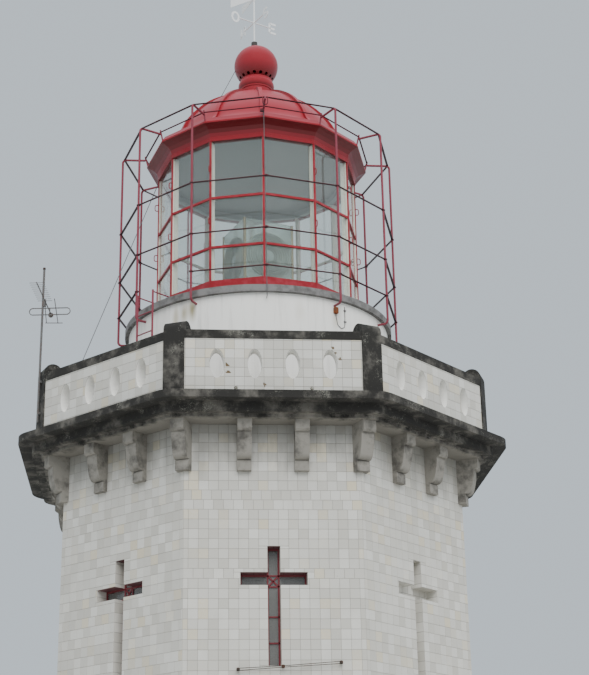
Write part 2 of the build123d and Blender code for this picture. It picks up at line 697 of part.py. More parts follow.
def ventilator_neck():
    """Neck, ring, bulging body and lip that carry the ball."""
    ring_top = NECK_TOP_Z + NECK_RING_HEIGHT
    bulge_top = ring_top + BULGE_HEIGHT
    lower = Polyline(
        (LIP_RADIUS, bulge_top), (LIP_RADIUS, COLLAR_TOP_Z), (NECK_BORE, COLLAR_TOP_Z),
        (NECK_BORE, DOME_TOP_Z), (NECK_RADIUS, DOME_TOP_Z), (NECK_RADIUS, NECK_TOP_Z),
        (NECK_RING_RADIUS, NECK_TOP_Z), (NECK_RING_RADIUS, ring_top))
    body = ThreePointArc((NECK_RING_RADIUS, ring_top), (BULGE_RADIUS, ring_top + BULGE_HEIGHT * 0.45),
                         (LIP_RADIUS, bulge_top))
    return revolve(Plane.XZ * make_face(lower + body), Axis.Z)


def ventilator_ball():
    """Hollow ball with a row of vent holes near its seat."""
    ball = Pos(0, 0, BALL_Z) * (Sphere(BALL_RADIUS) - Sphere(BALL_RADIUS - BALL_SHELL))
    ball -= disc(BALL_RADIUS, BALL_Z - 2 * BALL_RADIUS, COLLAR_TOP_Z)
    reach = math.sqrt(BALL_RADIUS ** 2 - VENT_DROP ** 2)
    for index in range(VENT_COUNT):
        angle = VENT_TURN + index * 360 / VENT_COUNT
        start = place(reach * 0.8, angle, BALL_Z - VENT_DROP * 0.8)
        end = place(reach * 1.2, angle, BALL_Z - VENT_DROP * 1.2)
        ball -= rod(start, end, VENT_RADIUS)
    return ball


def vane_mast():
    """Mast on the ball, a little off the axis, with a nut, cardinal arms and the vane's stop ring."""
    foot = BALL_TOP_Z - MAST_SINK
    mast = disc(MAST_NUT_RADIUS, foot, foot + MAST_NUT_HEIGHT) + disc(MAST_RADIUS, foot, foot + MAST_HEIGHT)
    height = BALL_TOP_Z + CARDINAL_HEIGHT
    for angle in (CARDINAL_TURN, CARDINAL_TURN + 90):
        ends = [place(way * CARDINAL_LENGTH, angle, height) for way in (-1, 1)]
        mast += rod(*ends, CARDINAL_ROD_RADIUS)
    stop = BALL_TOP_Z + VANE_HEIGHT - VANE_STOP_HEIGHT
    mast += disc(MAST_RADIUS + VANE_COLLAR_WALL, stop, stop + VANE_STOP_HEIGHT)
    return Pos(MAST_SHIFT, 0, 0) * mast - Pos(0, 0, BALL_Z) * Sphere(BALL_RADIUS)


def vane_rotor():
    """Collar that turns on the mast, with an arrow head and two tail plates that spread apart."""
    bottom = BALL_TOP_Z + VANE_HEIGHT + VANE_SEAT_GAP
    inner = MAST_RADIUS + VANE_RUNNING_GAP
    middle = bottom + VANE_COLLAR_HEIGHT / 2
    neck = VANE_COLLAR_HEIGHT / 4
    half_head = VANE_HEAD_HEIGHT / 2
    half_tail = VANE_TAIL_HEIGHT / 2
    rotor = disc(inner + VANE_COLLAR_WALL, bottom, bottom + VANE_COLLAR_HEIGHT)
    rotor += rod(Vector(0, 0, middle), Vector(0, -VANE_POINTER_LENGTH, middle), CARDINAL_ROD_RADIUS)
    rotor += side_profile([(VANE_POINTER_LENGTH, middle - half_head),
                           (VANE_POINTER_LENGTH + VANE_HEAD_LENGTH, middle),
                           (VANE_POINTER_LENGTH, middle + half_head)], VANE_PLATE)
    tail = side_profile([(0, middle - neck), (0, middle + neck), (-VANE_TAIL_LENGTH, middle + half_tail),
                         (-VANE_TAIL_LENGTH, middle - half_tail)], VANE_PLATE)
    rotor += turn(tail, VANE_TAIL_SPREAD) + turn(tail, -VANE_TAIL_SPREAD)
    rotor -= disc(inner, bottom - CUT, bottom + VANE_COLLAR_HEIGHT + CUT)
    return Pos(MAST_SHIFT, 0, 0) * turn(rotor, VANE_TURN)


def cage_pole():
    """Upright tube between its two elbows, at the front."""
    return Pos(0, -CAGE_RADIUS, 0) * disc(CAGE_POLE_RADIUS, CAGE_FOOT_Z + CAGE_ELBOW_RADIUS,
                                          CAGE_HEAD_Z - CAGE_ELBOW_RADIUS)


def cage_poles():
    """A pole at every corner but the front one, where it is missing."""
    return [turn(cage_pole(), angle) for angle in POLE_ANGLES]


def cage_elbow(inner, height, upwards):
    """Tube that leaves the pole's end in a quarter bend and runs inwards, at the front."""
    bend = CAGE_ELBOW_RADIUS
    way = -1 if upwards else 1
    arc = ThreePointArc(
        (CAGE_RADIUS, height + way * bend),
        (CAGE_RADIUS - bend * (1 - math.cos(math.pi / 4)), height + way * bend * (1 - math.sin(math.pi / 4))),
        (CAGE_RADIUS - bend, height))
    run = Line((CAGE_RADIUS - bend, height), (inner, height))
    side = Plane(origin=(0, 0, 0), x_dir=(0, -1, 0), z_dir=(-1, 0, 0))
    path = side * (arc + run)
    start = Plane(origin=(0, -CAGE_RADIUS, height + way * bend), z_dir=(0, 0, 1))
    return sweep(start * Circle(CAGE_POLE_RADIUS), path=path)


def crown_leg():
    """Short leaning post on the cornice that carries the cage's inner ring, at the front."""
    foot = Vector(0, -(CORNICE_RIM_RADIUS - CROWN_LEG_INSET), CROWN_LEG_Z)
    head = Vector(0, -CROWN_RADIUS, CROWN_Z)
    return rod(foot, head + (head - foot).normalized() * CAGE_POLE_RADIUS, CROWN_LEG_RADIUS)


def cage_legs(cornice):
    return [turn(crown_leg(), angle) - cornice for angle in LANTERN_CORNERS]


def cage_stays():
    """Elbows that hold the poles' feet to the drum, and those that run in to the inner ring."""
    foot = cage_elbow(DRUM_RADIUS - CAGE_POLE_RADIUS, CAGE_FOOT_Z, False) - disc(DRUM_RADIUS, FLOOR_Z, RIM_Z)
    arm = cage_elbow(CROWN_RADIUS, CAGE_HEAD_Z, True) - crown_leg()
    arm = arm & block(2 * CAGE_ELBOW_RADIUS, CROWN_RADIUS, CAGE_RADIUS + CAGE_ELBOW_RADIUS, CAGE_FOOT_Z,
                      CAGE_HEAD_Z + CAGE_ELBOW_RADIUS)
    return [turn(foot, angle) for angle in POLE_ANGLES] + [turn(arm, angle) for angle in LANTERN_CORNERS]


def flat_bar(radius, height, width):
    """One flat bar of a ring from corner to corner, centred on the front."""
    half = math.radians(LANTERN_STEP / 2)
    apothem = radius * math.cos(half)
    return block(2 * radius * math.sin(half), apothem - width / 2, apothem + width / 2,
                 height - CAGE_BAR_THICKNESS / 2, height + CAGE_BAR_THICKNESS / 2)


def cage_bar(radius, height, width, post):
    """A ring's bar between the posts at its ends."""
    return flat_bar(radius, height, width) - turn(post, -LANTERN_STEP / 2) - turn(post, LANTERN_STEP / 2)


def bent_bar(height, post):
    """The bar that passes the front corner, where the pole is missing, in one bent piece."""
    bar = flat_bar(CAGE_RADIUS, height, CAGE_BAR_WIDTH)
    bend = Pos(0, -CAGE_RADIUS, 0) * disc(CAGE_BAR_WIDTH / 2, height - CAGE_BAR_THICKNESS / 2,
                                          height + CAGE_BAR_THICKNESS / 2)
    bent = turn(bar, -LANTERN_STEP / 2) + turn(bar, LANTERN_STEP / 2) + bend
    return bent - turn(post, -LANTERN_STEP) - turn(post, LANTERN_STEP)


def cage_rings():
    """Flat ring bars between the poles, with a gap at the ladder, and the inner ring at the crown."""
    pole = Pos(0, -CAGE_RADIUS, 0) * disc(CAGE_POLE_RADIUS, CAGE_FOOT_Z, CAGE_HEAD_Z)
    bars = []
    for rise in CAGE_RING_HEIGHTS:
        bar = cage_bar(CAGE_RADIUS, RIM_Z + rise, CAGE_BAR_WIDTH, pole)
        bars.append(bent_bar(RIM_Z + rise, pole))
        for angle in LANTERN_FACES[1:-1]:
            at_gate = angle == CAGE_GATE_FACE and rise == min(CAGE_RING_HEIGHTS)
            if not at_gate:
                bars.append(turn(bar, angle))
    head_radius = CAGE_RADIUS - CAGE_ELBOW_RADIUS / 2
    head = cage_bar(head_radius, CAGE_HEAD_Z, CAGE_BAR_WIDTH, cage_elbow(CROWN_RADIUS, CAGE_HEAD_Z, True))
    crown = cage_bar(CROWN_RADIUS, CROWN_Z - CAGE_POLE_RADIUS, CROWN_BAR_WIDTH, crown_leg())
    for angle in LANTERN_FACES:
        bars += [turn(head, angle), turn(crown, angle)]
    return bars


def access_ladder():
    """Ladder from the gallery to the lantern's rim, held by two stays at its head."""
    half = LADDER_WIDTH / 2
    ladder = None
    for side in (-half, half):
        rail = rod(Vector(side, -LADDER_RADIUS, FLOOR_Z), Vector(side, -LADDER_RADIUS, LADDER_HEAD_Z),
                   LADDER_RAIL_RADIUS)
        stay = rod(Vector(side, -LADDER_RADIUS, LADDER_STAY_Z), Vector(side, -LANTERN_RADIUS, LADDER_STAY_Z),
                   LADDER_RUNG_RADIUS)
        ladder = rail + stay if ladder is None else ladder + rail + stay
    height = LADDER_STAY_Z - LADDER_TOP_RUNG_DROP
    while height > FLOOR_Z + LADDER_RUNG_SPACING / 2:
        ladder += rod(Vector(-half, -LADDER_RADIUS, height), Vector(half, -LADDER_RADIUS, height),
                      LADDER_RUNG_RADIUS)
        height -= LADDER_RUNG_SPACING
    return ladder


def turned_ladder(curb):
    """The ladder at its place, with its stays cut back to the lantern's curb."""
    ladder = turn(access_ladder(), LADDER_ANGLE)
    for side in curb:
        ladder -= side
    for post in lantern_mullions():
        ladder -= post
    return max(ladder.solids(), key=lambda solid: solid.volume)


def conductor():
    """Thin rod from the front crown leg down to a pin in the drum."""
    leg_radius = CORNICE_RIM_RADIUS - CROWN_LEG_INSET
    head = place(leg_radius + (CROWN_RADIUS - leg_radius) * CONDUCTOR_HEAD_SHARE, 0,
                 CROWN_LEG_Z + (CROWN_Z - CROWN_LEG_Z) * CONDUCTOR_HEAD_SHARE)
    foot = place(DRUM_RADIUS + CONDUCTOR_STANDOFF, 0, CAGE_FOOT_Z)
    pin = rod(place(DRUM_RADIUS - CONDUCTOR_STANDOFF, 0, CAGE_FOOT_Z), foot, CONDUCTOR_RADIUS)
    line = rod(head, foot, CONDUCTOR_RADIUS) + pin + Pos(foot) * Sphere(CONDUCTOR_RADIUS)
    return line - crown_leg() - disc(DRUM_RADIUS, FLOOR_Z, DRUM_TOP_Z)


def lightning_wire():
    """Taut wire from the lantern's left glazing post down to the parapet's coping."""
    head = place(LANTERN_RADIUS + MULLION_PROUD + WIRE_RADIUS, -90, GLASS_TOP_Z - WIRE_HEAD_DROP)
    foot = Vector(WIRE_FOOT_OFFSET, -(PANEL_APOTHEM - COPING_BEVEL - PANEL_THICKNESS / 4), COPING_TOP_Z)
    foot = foot.rotate(Axis.Z, WIRE_FACE)
    wire = rod(head, foot + (foot - head).normalized() * WIRE_RADIUS, WIRE_RADIUS)
    stone = Box(COPING_HEIGHT, COPING_HEIGHT, COPING_HEIGHT, align=(Align.CENTER, Align.CENTER, Align.MAX))
    return wire - Pos(foot) * stone


def optic_pedestal():
    """Fixed column with the pin that the optic turns on."""
    column = disc(PEDESTAL_FLANGE_RADIUS, RIM_Z, RIM_Z + PEDESTAL_FLANGE_THICKNESS)
    column += disc(PEDESTAL_RADIUS, RIM_Z, PEDESTAL_TOP_Z)
    return column + disc(PIN_RADIUS, PEDESTAL_TOP_Z, PEDESTAL_TOP_Z + PIN_HEIGHT)


def optic_table():
    """Round table with a boss on the pedestal's pin, which carries the lens."""
    table = disc(TABLE_RADIUS, TABLE_BOTTOM_Z, TABLE_TOP_Z)
    table += disc(TABLE_BOSS_RADIUS, TABLE_TOP_Z, TABLE_TOP_Z + PIN_HEIGHT)
    return table - disc(PIN_RADIUS + PIN_GAP, TABLE_BOTTOM_Z - CUT, PEDESTAL_TOP_Z + PIN_HEIGHT)


def optic_lens():
    """Four upright glass panels that make a square, between its corner posts."""
    panel = block(2 * (LENS_APOTHEM - OPTIC_POST_WIDTH), LENS_APOTHEM - LENS_THICKNESS, LENS_APOTHEM,
                  TABLE_TOP_Z, FOCAL_Z + LENS_RISE)
    return [turn(panel, LENS_TURN + 90 * index) for index in range(4)]


def optic_frame():
    """Square corner posts that the lens panels meet."""
    post = Pos(LENS_APOTHEM - OPTIC_POST_WIDTH / 2, 0, 0) * block(
        OPTIC_POST_WIDTH, LENS_APOTHEM - OPTIC_POST_WIDTH, LENS_APOTHEM, TABLE_TOP_Z, FOCAL_Z + LENS_RISE)
    return [turn(post, LENS_TURN + 90 * index) for index in range(4)]


def tv_aerial():
    """Mast clamped on the corner post, a boom beside it with a looped dipole and a black ball at its
    end, and a light three-sided frame."""
    height = LEDGE_HEIGHT + TV_BOOM_HEIGHT
    mast = disc(TV_MAST_RADIUS, LEDGE_HEIGHT + TV_MAST_FOOT, LEDGE_HEIGHT + TV_MAST_TOP)
    mast = Pos(0, -TV_REACH, 0) * mast
    for clamp in TV_CLAMP_HEIGHTS:
        mast += block(TV_CLAMP_WIDTH, POST_FRONT_RADIUS, TV_REACH, LEDGE_HEIGHT + clamp,
                      LEDGE_HEIGHT + clamp + TV_CLAMP_HEIGHT)
    boom = rod(Vector(TV_BOOM_SIDE, -TV_BOOM_NEAR, 0), Vector(TV_BOOM_SIDE, TV_BOOM_FAR, 0), TV_BOOM_RADIUS)
    boom += Pos(TV_BOOM_SIDE / 2, 0, 0) * Box(TV_BOOM_SIDE, TV_HOLDER_DEPTH, TV_HOLDER_HEIGHT)
    loop = SlotOverall(TV_DIPOLE_WIDTH, TV_DIPOLE_HEIGHT)
    loop -= SlotOverall(TV_DIPOLE_WIDTH - 2 * TV_DIPOLE_BAR, TV_DIPOLE_HEIGHT - 2 * TV_DIPOLE_BAR)
    dipole = extrude(Plane.XZ * loop, TV_DIPOLE_BAR / 2, both=True)
    dipole += Box(TV_DIPOLE_BAR, TV_DIPOLE_BAR, TV_DIPOLE_HEIGHT - TV_DIPOLE_BAR)
    boom += Pos(TV_BOOM_SIDE, TV_DIPOLE_PLACE, 0) * dipole
    boom += Pos(TV_BOOM_SIDE, TV_BOOM_FAR, -TV_BALL_DROP) * Sphere(TV_BALL_RADIUS)
    for start, end in (TV_SIDE_BAR, TV_CROSS_BAR, TV_SPUR):
        boom += rod(Vector(*start, 0), Vector(*end, 0), TV_FRAME_RADIUS)
    head = Pos(place(TV_REACH, TV_POST_ANGLE, height)) * turn(boom, TV_BOOM_TURN)
    return turn(mast, TV_POST_ANGLE) + head


def save(name, pieces):
    """Writes one named sub-part, made of one solid or of several that don't touch."""
    solids = []
    for piece in pieces if isinstance(pieces, list) else [pieces]:
        solids += piece.solids()
    shape = solids[0] if len(solids) == 1 else Compound(children=solids)
    shape.label = name
    export_step(shape, f"parts/{name}.step")


def main():
    os.makedirs("parts", exist_ok=True)
    for name in FACE_ANGLES:
        save(f"wall_{name}", wall_face(name))
    save("plinth_stones", plinth_stones())
    save("ground_floor", ground_floor())
    save("watch_room_floor", watch_room_floor())
    save("cross_window_frames", cross_window_frames())
    save("cross_window_glass", cross_window_glass())
    save("doors", doors())
    save("gallery_slab", gallery_slab())
    save("corner_brackets", corner_brackets())
    save("face_brackets", face_brackets())
    save("parapet_panels", parapet_panels())
    save("parapet_coping", parapet_coping())
    save("corner_posts", corner_posts())
    save("drum_front", drum_half(True))
    save("drum_back", drum_half(False))
    save("lantern_floor", lantern_floor())
    curb = lantern_curb()
    save("lantern_curb", curb)
    save("lantern_mullions", lantern_mullions())
    save("lantern_transoms", lantern_transoms())
    save("lantern_glass", lantern_glass())
    cornice = roof_cornice()
    save("roof_cornice", cornice)
    save("roof_dome", roof_dome())
    save("roof_ribs", roof_ribs())
    save("ventilator_neck", ventilator_neck())
    save("ventilator_ball", ventilator_ball())
    save("vane_mast", vane_mast())
    save("vane_rotor", vane_rotor())
    save("cage_poles", cage_poles())
    save("cage_legs", cage_legs(cornice))
    save("cage_stays", cage_stays())
    save("cage_rings", cage_rings())
    save("access_ladder", turned_ladder(curb))
    save("lightning_wire", [lightning_wire(), conductor()])
    save("optic_pedestal", optic_pedestal())
    save("optic_table", optic_table())
    save("optic_lens", optic_lens())
    save("optic_frame", optic_frame())
    save("tv_aerial", tv_aerial())


main()
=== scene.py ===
"""The looks of an eight-sided tiled lighthouse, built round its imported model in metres."""
import math

import bmesh
import bpy
import numpy as np
from mathutils import Matrix, Vector


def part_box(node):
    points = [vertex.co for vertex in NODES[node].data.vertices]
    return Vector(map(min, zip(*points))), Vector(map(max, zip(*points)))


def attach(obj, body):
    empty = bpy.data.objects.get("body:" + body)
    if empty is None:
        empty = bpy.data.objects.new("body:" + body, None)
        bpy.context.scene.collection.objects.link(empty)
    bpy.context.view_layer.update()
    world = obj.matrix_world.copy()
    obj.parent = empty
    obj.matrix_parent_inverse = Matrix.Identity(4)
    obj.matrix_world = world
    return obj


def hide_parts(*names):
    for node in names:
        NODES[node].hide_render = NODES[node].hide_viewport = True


bl_info = {
    "name": "Tiled lighthouse",
    "version": (1, 0, 0),
    "blender": (4, 5, 0),
    "location": "3D View > Sidebar > Lighthouse",
    "description": "Tiles, paint, glass and fittings of an eight-sided lighthouse",
    "category": "Object",
}

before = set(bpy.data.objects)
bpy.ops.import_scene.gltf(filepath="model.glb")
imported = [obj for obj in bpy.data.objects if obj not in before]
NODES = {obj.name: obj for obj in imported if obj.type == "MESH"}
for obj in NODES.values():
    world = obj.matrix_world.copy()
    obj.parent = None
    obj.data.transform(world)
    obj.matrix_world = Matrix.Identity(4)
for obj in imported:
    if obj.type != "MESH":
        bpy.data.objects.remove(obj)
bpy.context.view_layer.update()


def low(node, axis):
    """The node's lowest reach along an axis."""
    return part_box(node)[0][axis]


def high(node, axis):
    """The node's highest reach along an axis."""
    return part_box(node)[1][axis]


# Half of one of the lantern's sides in degrees, and the bearings of its corners
LANTERN_SIDES = 12
HALF_PANE = 180 / LANTERN_SIDES
LANTERN_CORNERS = [2 * HALF_PANE * corner for corner in range(LANTERN_SIDES)]

# Measures read from the frame
X, Y, Z = 0, 1, 2
TOWER_APOTHEM = high("wall_right", X)
FACE_WIDTH = high("wall_front", X) - low("wall_front", X)
WALL_TOP = high("wall_front", Z)
PLINTH_TOP = high("plinth_stones", Z)
REVEAL_APOTHEM = high("cross_window_frames", X)
CROSS_LOW = low("cross_window_frames", Z)
CROSS_HIGH = high("cross_window_frames", Z)
LEDGE = low("parapet_panels", Z)
PANEL_TOP = high("parapet_panels", Z)
PANEL_APOTHEM = high("parapet_panels", X)
DRUM_RADIUS = high("drum_front", X)
DRUM_FOOT = low("drum_front", Z)
DRUM_TOP = high("drum_front", Z)
RIM_TOP = high("lantern_floor", Z)
MULLION_RADIUS = high("lantern_mullions", X)
GLASS_TOP = high("lantern_mullions", Z)
CORNICE_TOP = high("roof_cornice", Z)
CORNICE_RADIUS = high("roof_cornice", X)
CURB_FACE = high("lantern_curb", X) * math.cos(math.radians(HALF_PANE))
CAGE_RADIUS = high("cage_poles", X)
BALL_TOP = high("ventilator_ball", Z)
MAST_PLACE = (low("vane_mast", X) + high("vane_mast", X)) / 2
LENS_LOW = low("optic_lens", Z)
LENS_HIGH = high("optic_lens", Z)
DOOR_FOOT = low("doors", Z)

# The tower's sides by the bearing that each looks at, and those whose cross is a blind recess
TOWER_SIDES = 8
SIDES = {"front": 0, "front_right": 45, "right": 90, "back_right": 135, "back": 180, "back_left": 225,
         "left": 270, "front_left": 315}
BLIND = ("front_right", "back_left")

# The photograph's camera, found by matching the tower's corners to it
CAMERA_PLACE = (-1.600, -25.959, 1.617)
CAMERA_BEARING = math.radians(4.952)
CAMERA_PITCH = math.radians(21.159)
CAMERA_ROLL = -0.01781
CAMERA_LENS = 82.85

FLOOR_GAP = 0.002
SKY_STRENGTH = 0.90
# The soft lights: name, direction, strength, and spread in degrees
LIGHTS = (("key_light", (-0.05, 0.82, -0.75), 2.5, 50), ("fill_light", (-0.8, 0.4, -0.4), 0.5, 80))


def paint(code):
    """Turns an sRGB hex colour into Blender's linear red, green, blue and alpha."""
    parts = np.array([int(code[at:at + 2], 16) for at in (1, 3, 5)]) / 255
    linear = np.where(parts <= 0.04045, parts / 12.92, ((parts + 0.055) / 1.055) ** 2.4)
    return (*linear.tolist(), 1.0)


def length(name, description, default):
    """A size in metres for the sidebar."""
    return bpy.props.FloatProperty(name=name, description=description, default=default, min=0, precision=4,
                                   unit="LENGTH")


def shade(name, description, code):
    """A colour for the sidebar."""
    return bpy.props.FloatVectorProperty(name=name, description=description, default=paint(code), size=4,
                                         min=0, max=1, subtype="COLOR")


class LighthouseSizes(bpy.types.PropertyGroup):
    """Sizes that the sidebar can change"""
    tile_pitch: length("Tile pitch", "Distance from one tile to the next", FACE_WIDTH / 18)
    tile_joint: length("Tile joint", "Width of the grouted joint between tiles", 0.004)
    tile_rise: length("Tile rise", "Height of a tile's face above its joints", 0.004)
    bar_width: length("Window bar", "Width of the bars in the cross windows", 0.022)
    rivet_radius: length("Rivet radius", "Radius of the roof's rivet heads", 0.010)
    grip_reach: length("Grip reach", "How far a grip stands out from its glazing post", 0.058)
    grip_height: length("Grip height", "Height of a grip on a glazing post", 0.12)
    grip_radius: length("Grip radius", "Radius of a grip's bar", 0.008)
    letter_height: length("Letter height", "Height of the weathervane's cardinal letters", 0.20)
    letter_width: length("Letter width", "Width of the weathervane's cardinal letters", 0.145)
    wire_radius: length("Wire radius", "Radius of the cables and rods on the walls", 0.006)
    lens_radius: length("Lens radius", "Radius of the ringed lens in each panel", 0.44)
    stroke_width: length("Letter stroke", "Width of the strokes of the cardinal letters", 0.042)
    director_length: length("Director length", "Length of the thin rods across the aerial's boom", 0.24)
    floor_radius: length("Floor radius", "Radius of the studio's floor", 45.0)


class LighthouseColours(bpy.types.PropertyGroup):
    """Colours that the sidebar can change"""
    glaze: shade("Glaze", "Tile glaze, off white", "#dedbd3")
    glaze_dull: shade("Dull glaze", "Tiles that have greyed", "#c5c1b7")
    glaze_cream: shade("Cream glaze", "Tiles fired warmer than the rest", "#dccfb0")
    # Grime, and painted shade under the slab: darkens the walls under the gallery
    grime_and_shade: shade("Grime", "Soot and algae under the gallery", "#6f6c66")
    plaster: shade("Plaster", "Smooth white plaster inside the parapet", "#fbf9f3")
    grout: shade("Grout", "Weathered joints", "#a39f97")
    mortar: shade("Bare mortar", "Mortar under a broken tile", "#6d5c46")
    render: shade("Render", "Limewashed cement of the drum", "#fbf8f1")
    olive: shade("Olive stain", "Yellow-green damp below the feet of the cage", "#9a8a4e")
    cement_dark: shade("Blackened cement", "Cement under soot and lichen", "#302e2b")
    cement_grey: shade("Washed cement", "Cement where rain has washed it", "#6a665f")
    lichen: shade("Lichen", "Pale round lichen", "#8b897f")
    stone: shade("Bracket cement", "Cast cement of the brackets", "#98938a")
    stone_stain: shade("Bracket stain", "Damp stains on the brackets", "#45423e")
    base_stone: shade("Base stone", "Stone of the plinth", "#6f6c66")
    floor_grey: shade("Floor cement", "Floated cement of the floors", "#8c8881")
    rim_grey: shade("Rim cement", "Cement edge of the lantern's floor", "#858381")
    roof_red: shade("Roof red", "Gloss paint of the roof", "#971723")
    # Faded paint in worn patches, and a painted sky reflection on what faces up
    roof_faded_and_sky_sheen: shade("Faded red", "Roof paint bleached by the sun", "#c1505c")
    # Painted shade: darkens the roof on what faces down
    roof_painted_shade: shade("Sheltered red", "Sooty roof paint on what faces down", "#64060f")
    cage_red: shade("Cage red", "Thin old paint on the cage", "#8c3d4a")
    # Painted shade: the near black of the ring bars on what faces down
    cage_painted_shade: shade("Cage underside", "Grime under the ring bars", "#2a1a22")
    window_red: shade("Window red", "Paint of the window frames", "#7c3036")
    soffit_red: shade("Soffit red", "Paint on the soffits of the windows", "#6a4246")
    cream: shade("Cream paint", "Paint on the inner side of the glazing posts", "#d8d3c5")
    ceiling: shade("Ceiling grey", "Paint of the lantern's ceiling", "#7f8886")
    machine: shade("Machine paint", "Grey-green paint of the optic's pedestal", "#56625c")
    brass: shade("Dull brass", "Brass of the optic's frame", "#8d8463")
    zinc: shade("Zinc", "Galvanised steel", "#7c7c7d")
    alloy: shade("Aerial alloy", "Weathered aluminium", "#84827f")
    vane_white: shade("Vane white", "Old white paint of the weathervane", "#eeeeec")
    rust: shade("Rust", "Rust and its runs", "#8a4b26")
    pane: shade("Pane tint", "Tint of the lantern's plate glass", "#f2f7f5")
    lens: shade("Lens tint", "Green of the old lens glass", "#b9c7c0")
    dark_pane: shade("Window pane", "Dusty glass of the cross windows", "#a3a29e")
    studio_sky: shade("Studio sky", "Light that comes from all round", "#dbe6ef")
    studio_floor: shade("Studio floor", "The studio's floor", "#c9c7c2")


def sizes():
    """The sizes as they stand in the sidebar."""
    return bpy.context.scene.lighthouse_sizes


def colours():
    """The colours as they stand in the sidebar."""
    return bpy.context.scene.lighthouse_colours


# Shapes: each is an array of points with an array of four-cornered faces


def outward(angle):
    """Unit vectors out of the side that looks at this angle, and along it to the right."""
    bearing = math.radians(angle)
    out = np.array([math.sin(bearing), -math.cos(bearing), 0])
    return out, np.array([math.cos(bearing), math.sin(bearing), 0])


UP = np.array([0, 0, 1.0])


def on_side(angle, apothem, across, height, rise=0.0):
    """Points on a side of the tower: the foot of the side's normal, plus across along it and height up."""
    out, side = outward(angle)
    across, height, rise = np.broadcast_arrays(np.asarray(across, float), height, rise)
    return (apothem + rise)[..., None] * out + across[..., None] * side + height[..., None] * UP


def round_axis(radius, angle, height):
    """Points on a circle about the axis, with angles from the front towards +X."""
    radius, angle, height = np.broadcast_arrays(np.asarray(radius, float), np.radians(angle), height)
    return np.stack([radius * np.sin(angle), -radius * np.cos(angle), height], -1)


def grid(points, close_rows=False, close_columns=False):
    """A surface from rows and columns of points: each face joins four neighbours on the grid."""
    rows, columns = points.shape[:2]
    row = np.arange(rows if close_rows else rows - 1)
    column = np.arange(columns if close_columns else columns - 1)
    i, j = np.meshgrid(row, column, indexing="ij")
    here, next_row = i * columns, (i + 1) % rows * columns
    after_j = (j + 1) % columns
    faces = np.stack([here + j, next_row + j, next_row + after_j, here + after_j], -1)
    return points.reshape(-1, 3), faces.reshape(-1, 4)


def join(shapes):
    """Several shapes as one."""
    counts = np.cumsum([0] + [len(points) for points, _ in shapes[:-1]])
    return (np.concatenate([points for points, _ in shapes]),
            np.concatenate([faces + count for (_, faces), count in zip(shapes, counts)]))


def carry(profile, path, across):
    """A profile carried along a path: each point is the path's, plus the profile's first number times
    the direction across it, and its second times their cross product. Both ends close to a point."""
    path = np.asarray(path, float)
    ahead = np.gradient(path, axis=0)
    ahead /= np.linalg.norm(ahead, axis=1)[:, None]
    across = np.broadcast_to(np.asarray(across, float), path.shape)
    across = across - (across * ahead).sum(1)[:, None] * ahead
    across /= np.linalg.norm(across, axis=1)[:, None]
    up = np.cross(ahead, across)
    path, across, up = (np.concatenate([part[:1], part, part[-1:]]) for part in (path, across, up))
    size = np.pad(np.ones(len(path) - 2), 1)
    points = path[:, None] + size[:, None, None] * (
        profile[None, :, 0, None] * across[:, None] + profile[None, :, 1, None] * up[:, None])
    return grid(points, close_columns=True)


def circle(radius, count=8):
    """A round profile: radius times the cosine and sine of even angles."""
    angle = np.arange(count) * 2 * math.pi / count
    return radius * np.stack([np.cos(angle), np.sin(angle)], -1)


def oblong(width, height):
    """A four-cornered profile of this width and height."""
    return np.array([[-width, -height], [width, -height], [width, height], [-width, height]]) / 2


def lathe(outline, centre, axis, count):
    """A turned shape: the outline's radius goes round the axis, and its height along it."""
    axis = np.asarray(axis, float) / np.linalg.norm(axis)
    other = np.array([1.0, 0, 0]) if abs(axis[0]) < 0.9 else np.array([0, 1.0, 0])
    first = np.cross(axis, other)
    first /= np.linalg.norm(first)
    second = np.cross(axis, first)
    outline = np.asarray(outline, float)
    around = circle(1, count)
    ring = around[:, 0, None] * first + around[:, 1, None] * second
    points = np.asarray(centre, float) + outline[:, None, 0, None] * ring + outline[:, None, 1, None] * axis
    return grid(points, close_columns=True)


def soft_block(centre, half, axes, squareness=0.3, count=10):
    """A block with soft edges: a sphere whose sines and cosines are raised to a small power."""
    turn = np.linspace(-math.pi, math.pi, 2 * count, endpoint=False)
    rise = np.linspace(-math.pi / 2, math.pi / 2, count)
    t, r = np.meshgrid(turn, rise)
    waves = np.stack([np.cos(t), np.sin(t), np.cos(r), np.sin(r)])
    cos_t, sin_t, cos_r, sin_r = np.sign(waves) * np.abs(waves) ** squareness
    unit = np.stack([cos_r * cos_t, cos_r * sin_t, sin_r], -1)
    points = np.asarray(centre, float) + (unit * np.asarray(half, float)) @ axes
    return grid(points, close_columns=True)


def repeat(shape, centres, axes):
    """Like shapes at many places: the shape's points are turned by each place's axes and moved to it."""
    points, faces = shape
    placed = centres[:, None] + np.einsum("pk,nkc->npc", points, axes)
    steps = np.arange(len(centres)) * len(points)
    return placed.reshape(-1, 3), (faces[None] + steps[:, None, None]).reshape(-1, 4)


def side_axes(angle):
    """Rows that point along a side, up, and out of it."""
    out, side = outward(angle)
    return np.array([side, [0, 0, 1.0], out])


